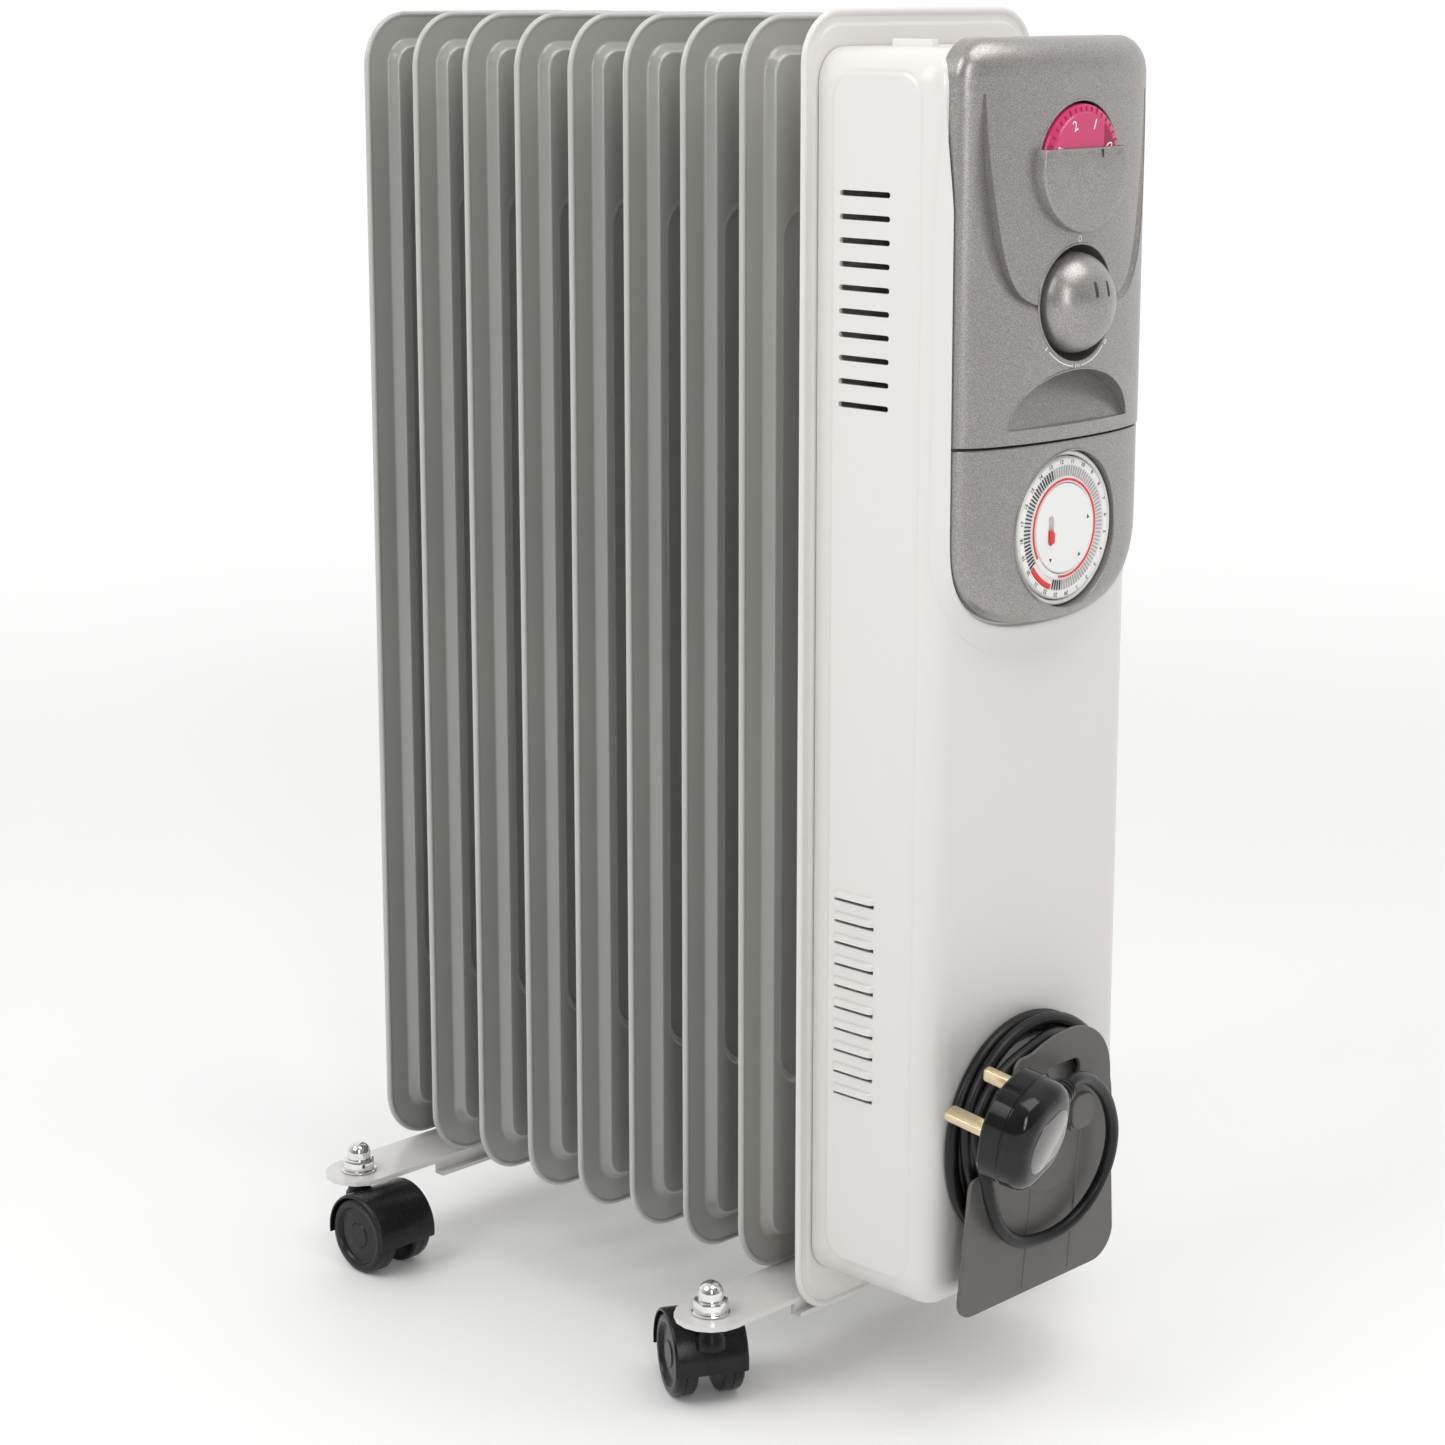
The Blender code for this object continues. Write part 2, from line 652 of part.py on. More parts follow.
def build_controls():
    inside = BOX_FRONT + BOX_WALL + GAP
    dial_back = BOX_FRONT - 0.0030
    thick = dial_back - DIAL_FACE
    control(
        "thermostat_dial",
        DIAL_Z,
        [(0, thick), (DIAL_RADIUS - 0.0020, thick), (DIAL_RADIUS, thick - 0.0020), (DIAL_RADIUS, 0.0060),
         (SHAFT_RADIUS, 0.0060), (SHAFT_RADIUS, -0.0042), (0, -0.0042)],
        dial_back,
        DIAL_PLASTIC,
    )
    block("thermostat_body", (-0.016, inside, DIAL_Z - 0.017), (0.016, inside + 0.024, DIAL_Z + 0.017), BAKELITE)
    dome = [(KNOB_RADIUS * c, KNOB_RIM + KNOB_DOME * s) for c, s in arc(0, 0, 1.0, 90, 0, 7)]
    dome[0] = (0, KNOB_RIM + KNOB_DOME)
    control(
        "selector_knob",
        KNOB_Z,
        dome + [(KNOB_RADIUS, 0.0), (SHAFT_RADIUS, 0.0), (SHAFT_RADIUS, -0.0024), (0, -0.0024)],
        BOX_FRONT - 0.0012,
        PANEL_PLASTIC,
    )
    block("selector_switch", (-0.015, inside, KNOB_Z - 0.014), (0.015, inside + 0.026, KNOB_Z + 0.014), BLACK_PLASTIC)
    ring_face = TIMER_FACE + RING_THICK
    start, end = (0, ring_face + GAP, TIMER_Z), (0, BOX_FRONT + 0.030, TIMER_Z)
    rod("timer_body", start, end, TIMER_BODY, WHITE_PLASTIC, sides=28)
    control(
        "timer_ring",
        TIMER_Z,
        [(TIMER_DISC + GAP, RING_THICK), (TIMER_RING - 0.0025, RING_THICK), (TIMER_RING, RING_THICK - 0.0016),
         (TIMER_RING, 0.0), (TIMER_DISC + GAP, 0.0), (TIMER_DISC + GAP, RING_THICK)],
        ring_face,
        WHITE_PLASTIC,
        sides=32,
    )
    disc = rod(
        "timer_disc",
        (0, ring_face, TIMER_Z),
        (0, ring_face - 0.0058, TIMER_Z),
        TIMER_DISC,
        WHITE_PLASTIC,
        sides=24,
    )
    floor = ring_face - 0.0030
    groove = block(
        "groove",
        (SLIDER_X - SLIDER_WIDTH / 2 - GAP, floor - THROUGH, TIMER_Z - SLOT_HALF),
        (SLIDER_X + SLIDER_WIDTH / 2 + GAP, floor, TIMER_Z + SLOT_HALF),
        group=CUTTERS,
    )
    cut(disc, groove)
    block(
        "timer_override",
        (SLIDER_X - SLIDER_WIDTH / 2, floor - 0.0040, TIMER_Z + SLIDER_REST),
        (SLIDER_X + SLIDER_WIDTH / 2, floor - GAP, TIMER_Z + SLIDER_REST + SLIDER_HEIGHT),
        RED_PLASTIC,
    )


def build_wiring_parts():
    """Pieces inside the box: terminal block, thermal cut-out and tip-over switch."""
    near = BOX_BACK - GAP
    block("terminal_block", (-0.024, near - 0.016, 0.3000), (0.024, near, 0.3200), WHITE_PLASTIC)
    rod("thermal_cutout", (0.030, near, 0.1800), (0.030, near - 0.0100, 0.1800), 0.0085, BAKELITE, sides=16)
    block("tip_over_switch", (0.020, near - 0.022, 0.0640), (0.046, near, 0.0860), BLACK_PLASTIC)


# ---------------------------------------------------------------- cord store, cord and plug
def holder_front(z):
    """Y of the holder plate's leaning front face."""
    return BOX_FRONT - HOLDER_STANDOFF - HOLDER_LEAN * (z - HOLDER_BOTTOM)


def holder_outline():
    """Plate outline with its notch for the plug's pins, anticlockwise from the bottom left."""
    left, right = HOLDER_X - 0.0570, HOLDER_X + 0.0570
    low, high = HOLDER_BOTTOM, HOLDER_TOP
    notch_low, notch_high, notch_x = 0.1300, 0.1760, HOLDER_X - 0.0325
    top = arc(HOLDER_X + 0.010, high - 0.0330, 0.0330, 12, 90, 6)
    shoulder = [(HOLDER_X - 0.010, high - 0.0028), (HOLDER_X - 0.0240, high - 0.0072)]
    return (
        arc(left + 0.010, low + 0.010, 0.010, 180, 270, 4)
        + arc(right - 0.014, low + 0.014, 0.014, 270, 360, 4)
        + top
        + shoulder
        + [(notch_x, notch_high), (notch_x, notch_low + 0.004), (notch_x - 0.003, notch_low)]
        + [(left + 0.0050, notch_low)]
    )


def build_holder():
    outline = holder_outline()
    bm = bmesh.new()
    back = [(x, holder_front(z) + HOLDER_THICK, z) for x, z in outline]
    front = [(x, holder_front(z), z) for x, z in outline]
    loft(bm, [back, front])
    holder = add_mesh("cord_holder", bm, HOLDER_PLASTIC)
    reach = holder_front(STORE_Z) + 0.5 * HOLDER_THICK
    join(holder, rod("hub", (STORE_X, BOX_FRONT - GAP, STORE_Z), (STORE_X, reach, STORE_Z), HUB_RADIUS, sides=24))
    hole_z = 0.1660
    face = holder_front(hole_z)
    hole = rounded_rect(-0.0180, 0.0080, hole_z - 0.0060, hole_z + 0.0060, 0.0050)
    cut(holder, slab("hole", hole, face - 0.02, face + 0.0120, group=CUTTERS))
    tab_z = 0.1440
    face = holder_front(tab_z)
    root = block("root", (-0.0100, face - 0.0105, tab_z - 0.0020), (0.0060, face + 0.0010, tab_z + 0.0008))
    tongue = rounded_rect(-0.0100, 0.0060, tab_z - 0.0020, tab_z + 0.0150, 0.0060)
    tip = slab("tongue", tongue, face - 0.0125, face - 0.0095)
    join(holder, root, tip)


def build_gland():
    """Strain relief where the lead leaves the box, between the hub and the coil."""
    angle = math.radians(215)
    radius = 0.0355
    x, z = STORE_X + radius * math.cos(angle), STORE_Z + radius * math.sin(angle)
    along = Vector((math.sin(angle), 0, -math.cos(angle)))
    middle = Vector((x, BOX_FRONT - GAP - 0.0050, z))
    bm = bmesh.new()
    turn = Matrix((along, Vector((0, 1, 0)), along.cross(Vector((0, 1, 0))))).transposed().to_4x4()
    bmesh.ops.create_cube(
        bm, size=1.0, matrix=Matrix.Translation(middle) @ turn @ Matrix.Diagonal((0.0140, 0.0100, 0.0110, 1.0))
    )
    bmesh.ops.bevel(bm, geom=bm.edges, offset=0.0012, segments=1, affect="EDGES")
    add_mesh("cord_gland", bm, BLACK_PLASTIC)


def build_cord():
    back = BOX_FRONT - 2 * GAP
    turned(
        "cord_coil",
        [(COIL_INNER, COIL_DEPTH), (COIL_OUTER - 0.001, COIL_DEPTH), (COIL_OUTER, COIL_DEPTH - 0.001),
         (COIL_OUTER, 0.001), (COIL_OUTER - 0.001, 0.0), (COIL_INNER, 0.0), (COIL_INNER, COIL_DEPTH)],
        (STORE_X, back, STORE_Z),
        (0, -1, 0),
        BLACK_RUBBER,
        sides=32,
    )
    tube("cord_lead", smooth_path(cord_route(), 0.0070), CORD_RADIUS, BLACK_RUBBER, sides_level=2)


def cord_route():
    """The lead's front loop, from the coil's left side, up round the holder and into the plug."""
    points = (
        (-0.0600, -0.0925, 0.1540),
        (-0.0614, -0.0952, 0.1430),
        (-0.0606, -0.0990, 0.1310),
        (-0.0575, -0.0992, 0.1190),
        (-0.0490, -0.0980, 0.1040),
        (-0.0350, -0.0968, 0.0930),
        (-0.0160, -0.0966, 0.0885),
        (0.0035, -0.0974, 0.0908),
        (0.0188, -0.0990, 0.1008),
        (0.0267, -0.1015, 0.1166),
        (0.0254, -0.1045, 0.1347),
        (0.0154, -0.1075, 0.1527),
        (-0.0005, -0.1105, 0.1657),
    )
    relief_end = -PLUG_LENGTH / 2 - RELIEF_LENGTH
    into_plug = [plug_point(relief_end - run, 0.0, RELIEF_HEIGHT) for run in (0.0080, GAP)]
    return [(x, PLATE_Y + y, z) for x, y, z in points] + into_plug


def plug_point(along, across, height):
    """A point on the plug: towards its earth pin, across it, and from its pin face along the pins."""
    return PLUG_CENTRE + EARTH_SIDE * along + PIN_SIDE * across + PIN_AXIS * height


def plug_bar(name, along, across, size_along, size_across, height0, height1, paint):
    bm = bmesh.new()
    middle = plug_point(along, across, (height0 + height1) / 2)
    turn = Matrix((EARTH_SIDE, PIN_SIDE, PIN_AXIS)).transposed().to_4x4()
    size = Matrix.Diagonal((size_along, size_across, height1 - height0, 1.0))
    bmesh.ops.create_cube(bm, size=1.0, matrix=Matrix.Translation(middle) @ turn @ size)
    bmesh.ops.recalc_face_normals(bm, faces=bm.faces)
    return add_mesh(name, bm, paint)


def build_plug():
    half_length, half_width = PLUG_LENGTH / 2, PLUG_WIDTH / 2
    levels = ((-PLUG_THICK, 0.0040), (-PLUG_THICK + 0.0035, 0.0008), (-0.0015, 0.0), (0.0, 0.0012))
    rings = []
    for height, inset in levels:
        outline = rounded_rect(
            -half_length + inset, half_length - inset, -half_width + inset, half_width - inset,
            PLUG_CORNER - inset, 5,
        )
        rings.append([plug_point(a, b, height) for a, b in outline])
    bm = bmesh.new()
    loft(bm, rings)
    bmesh.ops.recalc_face_normals(bm, faces=bm.faces)
    plug = add_mesh("plug_body", bm, BLACK_PLASTIC)
    relief = rod(
        "relief",
        plug_point(-half_length + 0.004, 0, RELIEF_HEIGHT),
        plug_point(-half_length - RELIEF_LENGTH, 0, RELIEF_HEIGHT),
        0.0062,
        end_radius=0.0046,
        sides=14,
    )
    join(plug, relief)
    plug_bar("plug_pin_earth", 0.0105, 0, 0.0080, 0.0040, GAP, 0.0227, BRASS)
    plug_bar("plug_pin_live", -0.0115, 0.0111, 0.0040, 0.0063, GAP, 0.0177, BRASS)
    plug_bar("plug_pin_neutral", -0.0115, -0.0111, 0.0040, 0.0063, GAP, 0.0177, BRASS)


# ---------------------------------------------------------------- feet and casters
def joint_y(gap_index):
    """Middle of the gap after that plate, counted from the end plate."""
    return PLATE_Y + (gap_index + 0.5) * FIN_PITCH


def foot_y(gap_index):
    return joint_y(gap_index) + (FRONT_FOOT_SHIFT if gap_index == 0 else 0.0)


def build_foot(name, gap_index):
    """Long plate with full round ends and two flared rails under its middle."""
    y = foot_y(gap_index)
    outline = arc(CASTER_X, y, FOOT_END_RADIUS, -90, 90, 8) + arc(-CASTER_X, y, FOOT_END_RADIUS, 90, 270, 8)
    bm = bmesh.new()
    loft(bm, [[(x, v, z) for x, v in outline] for z in (FOOT_TOP - FOOT_SHEET, FOOT_TOP)])
    foot = add_mesh(name, bm, WHITE_PAINT)
    low = FOOT_TOP - FOOT_RAIL_DEPTH
    for side in (-1, 1):
        for word, reach, top in (("web", FOOT_WEB_OUT, FOOT_TOP - 0.0010), ("lip", FOOT_LIP_OUT, low + 0.0020)):
            near, far = sorted((y + side * FOOT_RAIL_IN, y + side * reach))
            join(foot, block(word, (-FOOT_RAIL_END, near, low), (FOOT_RAIL_END, far, top)))
    holes = [(x, y, STEM_RADIUS + GAP) for x in (-CASTER_X, CASTER_X)]
    holes += [(x, joint_y(gap_index), U_BOLT_RADIUS + 2 * GAP) for x in (-U_BOLT_HALF, U_BOLT_HALF)]
    for x, v, radius in holes:
        start, end = (x, v, FOOT_TOP - THROUGH), (x, v, FOOT_TOP + THROUGH)
        cut(foot, rod("hole", start, end, radius, group=CUTTERS, sides=12))


def build_u_bolt(tag, gap_index):
    """U-bolt over the bottom header's joint, with a wing nut under the foot on each leg."""
    y = joint_y(gap_index)
    over = arc(0, HEADER_LOW, U_BOLT_HALF, 0, 180, 10)
    legs = [(U_BOLT_HALF, y, U_BOLT_END), (-U_BOLT_HALF, y, U_BOLT_END)]
    tube("u_bolt_" + tag, legs[:1] + [(x, y, z) for x, z in over] + legs[1:], U_BOLT_RADIUS, STEEL, sides_level=1)
    top = FOOT_TOP - FOOT_SHEET - GAP
    for side, word in ((-1, "left"), (1, "right")):
        x = side * U_BOLT_HALF
        nut = rod("wing_nut_%s_%s" % (tag, word), (x, y, top - 0.0055), (x, y, top), 0.0056, STEEL, sides=8)
        for wing in (-1, 1):
            x0, x1 = sorted((x + wing * 0.0040, x + wing * 0.0115))
            join(nut, block("wing", (x0, y - 0.0010, top - 0.0075), (x1, y + 0.0010, top - 0.0010)))
        start, end = (x, y, top - 2 * THROUGH), (x, y, top + THROUGH)
        cut(nut, rod("bore", start, end, U_BOLT_RADIUS + GAP, group=CUTTERS, sides=10))


def build_cap_nut(name, x, y):
    """Domed nut with its washer, and the stem that it clamps, which the caster turns on."""
    seat = FOOT_TOP + GAP
    turned(
        name,
        [(0, 0.0160), (0.0030, 0.0153), (0.0055, 0.0130), (0.0062, 0.0100), (0.0062, 0.0075), (0.0082, 0.0070),
         (0.0082, 0.0012), (0.0092, 0.0012), (0.0092, 0.0), (STEM_RADIUS, 0.0), (STEM_RADIUS, -0.0170), (0, -0.0170)],
        (x, y, seat),
        (0, 0, 1),
        CHROME,
        sides=12,
    )


def caster_parent(name, x, y, yaw):
    """Empty on the swivel axis."""
    empty = bpy.data.objects.new(name, None)
    PARTS.objects.link(empty)
    empty.location = (x, y, 0)
    empty.rotation_euler = (0, 0, math.radians(yaw))
    return empty


def build_hood(name):
    """Caster frame in its own space: swivel axis at the origin, wheels behind it at -Y."""
    y = -TRAIL
    bm = bmesh.new()
    outer = arc(y, WHEEL_RADIUS, HOOD_RADIUS, -8, 188, 9)
    inner = arc(y, WHEEL_RADIUS, HOOD_RADIUS - 0.0016, 188, -8, 9)
    outline = outer + inner
    loft(bm, [[(x, v, z) for v, z in outline] for x in (-HOOD_HALF, HOOD_HALF)])
    bmesh.ops.recalc_face_normals(bm, faces=bm.faces)
    hood = add_mesh(name, bm, BLACK_PLASTIC)
    web = arc(y, WHEEL_RADIUS, HOOD_RADIUS - 0.0008, -8, 188, 9)
    bm = bmesh.new()
    loft(bm, [[(x, v, z) for v, z in web + [(y - 0.008, 0.010), (y + 0.008, 0.010)]] for x in (-0.0050, 0.0050)])
    bmesh.ops.recalc_face_normals(bm, faces=bm.faces)
    join(hood, add_mesh("web", bm))
    join(hood, rod("boss", (0, 0, 0.0240), (0, 0, FOOT_TOP - FOOT_SHEET - 0.0006), 0.0056, sides=14))
    axle = rod("axle", (-HOOD_HALF, y, WHEEL_RADIUS), (HOOD_HALF, y, WHEEL_RADIUS), AXLE_RADIUS, sides=12)
    join(hood, axle)
    cut(hood, rod("bore", (0, 0, 0.0290), (0, 0, 0.0600), STEM_RADIUS + GAP, group=CUTTERS, sides=14))
    return hood


def wheel_profile():
    half = WHEEL_WIDTH / 2
    bore = AXLE_RADIUS + GAP
    return [
        (bore, half),
        (WHEEL_RADIUS - 0.0020, half),
        (WHEEL_RADIUS, half - 0.0020),
        (WHEEL_RADIUS, -half + 0.0012),
        (WHEEL_RADIUS - 0.0012, -half),
        (bore, -half),
        (bore, half),
    ]


def build_casters():
    hood_mesh = None
    for tag, (side, gap_index, yaw) in CASTERS.items():
        x, y = side * CASTER_X, foot_y(gap_index)
        build_cap_nut("cap_nut_" + tag, x, y)
        empty = caster_parent("caster_axis_" + tag, x, y, yaw)
        if hood_mesh is None:
            hood = build_hood("caster_hood_" + tag)
            hood_mesh = hood.data
        else:
            hood = bpy.data.objects.new("caster_hood_" + tag, hood_mesh)
            PARTS.objects.link(hood)
        hood.parent = empty
        for end, word in ((-1, "a"), (1, "b")):
            wheel = turned(
                "wheel_%s_%s" % (tag, word),
                wheel_profile(),
                (end * WHEEL_OFFSET, -TRAIL, WHEEL_RADIUS),
                (end, 0, 0),
                BLACK_PLASTIC,
                sides=20,
            )
            wheel.parent = empty


def build_feet():
    for tag, gap_index in (("front", 0), ("rear", FIN_COUNT - 1)):
        build_foot("foot_" + tag, gap_index)
        build_u_bolt(tag, gap_index)


build_fins()
build_end_plate()
build_elements()
build_box()
build_top_grille()
build_upper_panel()
build_lower_panel()
build_controls()
build_wiring_parts()
build_holder()
build_gland()
build_cord()
build_plug()
build_feet()
build_casters()
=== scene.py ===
"""Looks of the oil filled radiator heater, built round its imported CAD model.

Metres, +Z up. The controls face -Y, the fins stack towards +Y and their width lies along X.
"""

import json
from math import asin, atan2, cos, degrees, hypot, pi, radians, sin, sqrt

import bmesh
import bpy
from mathutils import Matrix, Vector


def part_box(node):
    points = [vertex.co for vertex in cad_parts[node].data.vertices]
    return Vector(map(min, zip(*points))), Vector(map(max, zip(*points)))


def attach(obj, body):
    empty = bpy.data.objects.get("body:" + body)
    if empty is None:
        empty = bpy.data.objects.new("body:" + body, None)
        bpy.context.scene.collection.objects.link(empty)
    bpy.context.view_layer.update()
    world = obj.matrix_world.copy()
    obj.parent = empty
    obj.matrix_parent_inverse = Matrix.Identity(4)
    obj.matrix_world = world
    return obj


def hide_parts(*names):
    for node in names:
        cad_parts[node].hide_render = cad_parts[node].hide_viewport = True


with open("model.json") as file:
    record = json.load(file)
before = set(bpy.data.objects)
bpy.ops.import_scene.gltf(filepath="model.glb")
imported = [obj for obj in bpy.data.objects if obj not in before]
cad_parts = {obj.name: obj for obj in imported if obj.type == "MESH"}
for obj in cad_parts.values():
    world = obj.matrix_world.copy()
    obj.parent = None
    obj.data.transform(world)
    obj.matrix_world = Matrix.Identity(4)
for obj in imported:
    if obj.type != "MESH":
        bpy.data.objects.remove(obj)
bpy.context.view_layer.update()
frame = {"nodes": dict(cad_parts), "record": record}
NODES = frame["nodes"]

GAP = 0.0003

CAMERA_PLACE = (-1.1042, -1.0455, 0.6610)
CAMERA_TURN = -45.815
CAMERA_PITCH = -11.5
CAMERA_LENS = 78.073
CAMERA_SHIFT = -0.07

# fins and end plate
FIN_COUNT = 8
FIN_PITCH = 0.0375
FIN_HALF = 0.080
FIN_BOTTOM = 0.0475
FIN_TOP = 0.6475
FIN_CORNER = 0.027
FIN_EDGE = 0.0016               # radius of the rolled edge
FIN_RIM = 0.0135                # edge to the foot of the pressed panel
FIN_SLOPE = 0.0048
FIN_RIM_HALF = 0.0009
FIN_PANEL_HALF = 0.0058
VALLEY_FLOOR = 0.0026
VALLEY_WIDTH = 0.036
VALLEY_SLOPE = 0.0050
VALLEY_OFFSET = 0.0405
VALLEY_BOTTOM = 0.138
VALLEY_TOP = 0.564
HEADER_RADIUS = 0.0185
HEADERS = (0.0925, 0.6025)
NECK_ROOT = 0.0070              # radius where a neck leaves its plate
NECK_SEAM = 0.0008              # how far the seam between two necks stands out
PLATE_Y = -0.0986
PLATE_BOTTOM = 0.0385
PLATE_TOP = 0.6505
PLATE_CORNER = 0.024

# control box
BOX_HALF = 0.071
BOX_BOTTOM = 0.0590
BOX_TOP = 0.6340
BOX_EDGE = 0.0160
BOX_CORNER = 0.0140
BOX_WALL = 0.0012
BOX_BACK = PLATE_Y - FIN_EDGE - GAP
BOX_FRONT = PLATE_Y - 0.075
FIELD_RISE = 0.0008             # raised field of the side wall
FIELD_NEAR = 0.0100             # its edges, measured forward from the end plate
FIELD_FAR = 0.0620
FIELD_BOTTOM = 0.0720
FIELD_TOP = 0.6240
VENT_COUNT = 10
VENT_PITCH = 0.0104
VENT_TOP = 0.5710
VENT_NEAR = 0.0155
VENT_FAR = 0.0450
VENT_HEIGHT = 0.0026
LOUVRE_TOP = 0.2500
LOUVRE_FAR = 0.0395
LOUVRE_HEIGHT = 0.0046
LOUVRE_RISE = 0.0022
SLIT_HEIGHT = 0.0024
LIP_TOP = 0.6150                # where the lip dies out below the panel's top corners
LIP_FADE = 0.0600               # length over which it grows to its full height
LIP_GAP = 0.0006                # from the panel's outline to the lip's inner edge

# control panel
PANEL_HALF = 0.0655
PANEL_RISE = 0.0180
PANEL_TOP = 0.6385
PANEL_BOTTOM = 0.3780
PANEL_ROUND = 0.0130
PANEL_CORNER = 0.018
PANEL_BACK = BOX_FRONT - GAP
PANEL_FRONT = BOX_FRONT - PANEL_RISE
PANEL_TAIL = 0.0075             # how far the panel's skirt runs back over the box
SEAM_Z = 0.4620
SEAM_WIDTH = 0.0010
LOWER_RISE = 0.0160
LOWER_SHOULDER = 0.4240
ARCH_STEPS = 64
THROUGH = 0.010

# controls
DIAL_Z = 0.5835
DIAL_RADIUS = 0.0264
WINDOW_RADIUS = 0.0280
BOSS_RADIUS = 0.0300
BOSS_RISE = 0.0042
BOSS_WALL = 0.0016
CHORD_RISE = 0.0072
DIAL_FACE = PANEL_FRONT - BOSS_RISE + BOSS_WALL + 0.0004
KNOB_Z = 0.5227
KNOB_RADIUS = 0.0226
KNOB_POCKET = 0.0262
KNOB_RIM = 0.0128
KNOB_DOME = 0.0185
TIMER_Z = 0.4210
TIMER_RECESS = 0.0360
TIMER_RING = 0.0325
TIMER_DISC = 0.0205
TIMER_FACE = PANEL_FRONT + 0.0050
RING_BACK = TIMER_FACE + 0.0052
DISC_FACE = RING_BACK - 0.0058
SLOT_FLOOR = RING_BACK - 0.0030
SLIDER_X = -0.0100
SLIDER_WIDTH = 0.0034
SLIDER_HEIGHT = 0.0060
SLIDER_REST = -0.0062
GRIP_HALF = 0.0420
GRIP_BOTTOM = 0.4690
GRIP_RISE = 0.0245

# cord store, cord and plug
STORE_X = -0.0080
STORE_Z = 0.1365
CORD_RADIUS = 0.0031
COIL_NEAR = 0.0471              # radius of the coil's inner turns
COIL_FAR = 0.0533
LAYER_BACK = BOX_FRONT - 0.0037
LAYER_FRONT = BOX_FRONT - 0.0103
HOLDER_X = -0.0100
HOLDER_BOTTOM = 0.0600
HOLDER_TOP = 0.1880
HOLDER_STANDOFF = 0.0140
HOLDER_LEAN = 0.085
HOLDER_THICK = 0.0022
HUB_RADIUS = 0.0250
HOLE_Z = 0.1660
TAB_Z = 0.1440                  # tab that holds the front loop
PLUG_CENTRE = Vector((-0.0640, PLATE_Y - 0.1109, 0.1630))
PIN_AXIS = Vector((-0.21, 0.945, 0.235)).normalized()
EARTH_LEAN = Vector((-0.958, -0.156, -0.227))
EARTH_SIDE = (EARTH_LEAN - PIN_AXIS * EARTH_LEAN.dot(PIN_AXIS)).normalized()
PIN_SIDE = PIN_AXIS.cross(EARTH_SIDE)
PLUG_LENGTH = 0.048
PLUG_WIDTH = 0.050
PLUG_THICK = 0.0235
PLUG_CORNER = 0.0205
LENS_LENGTH = 0.033
LENS_WIDTH = 0.027
LENS_CORNER = 0.0125
PIN_CORNER = 0.0005
RELIEF_LENGTH = 0.0150          # the plug's own relief and its place along the pins
RELIEF_HEIGHT = -0.0115

# feet and casters
FOOT_TOP = 0.0470
FOOT_SHEET = 0.0025
CASTER_X = 0.1160
WHEEL_RADIUS = 0.0200
WHEEL_OFFSET = 0.0117
HOOD_RADIUS = 0.0222
HOOD_HALF = 0.0180
TRAIL = 0.0180
FOOT_Y = {"front": PLATE_Y + 0.5 * FIN_PITCH + 0.0025, "rear": PLATE_Y + 7.5 * FIN_PITCH}
CASTERS = {"front_left": (-1, 150.0), "front_right": (1, 172.0), "rear_left": (-1, 0.0), "rear_right": (1, -14.0)}


# ---------------------------------------------------------------- camera
def put(name, data):
    """A new object in the scene."""
    made = bpy.data.objects.new(name, data)
    bpy.context.scene.collection.objects.link(made)
    return made


def build_camera():
    camera = put("camera", bpy.data.cameras.new("camera"))
    turn, pitch = radians(CAMERA_TURN), radians(CAMERA_PITCH)
    forward = Vector((-sin(turn) * cos(pitch), cos(turn) * cos(pitch), sin(pitch)))
    camera.location = CAMERA_PLACE
    camera.rotation_euler = forward.to_track_quat("-Z", "Y").to_euler()
    camera.data.lens = CAMERA_LENS
    camera.data.shift_y = CAMERA_SHIFT
    bpy.context.scene.camera = camera


build_camera()


# ---------------------------------------------------------------- materials
def map_range(tree, value, low, high, to_low, to_high):
    """Map Range node on a value of the tree."""
    node = tree.nodes.new("ShaderNodeMapRange")
    for socket, number in zip(("From Min", "From Max", "To Min", "To Max"), (low, high, to_low, to_high)):
        node.inputs[socket].default_value = number
    tree.links.new(value, node.inputs["Value"])
    return node


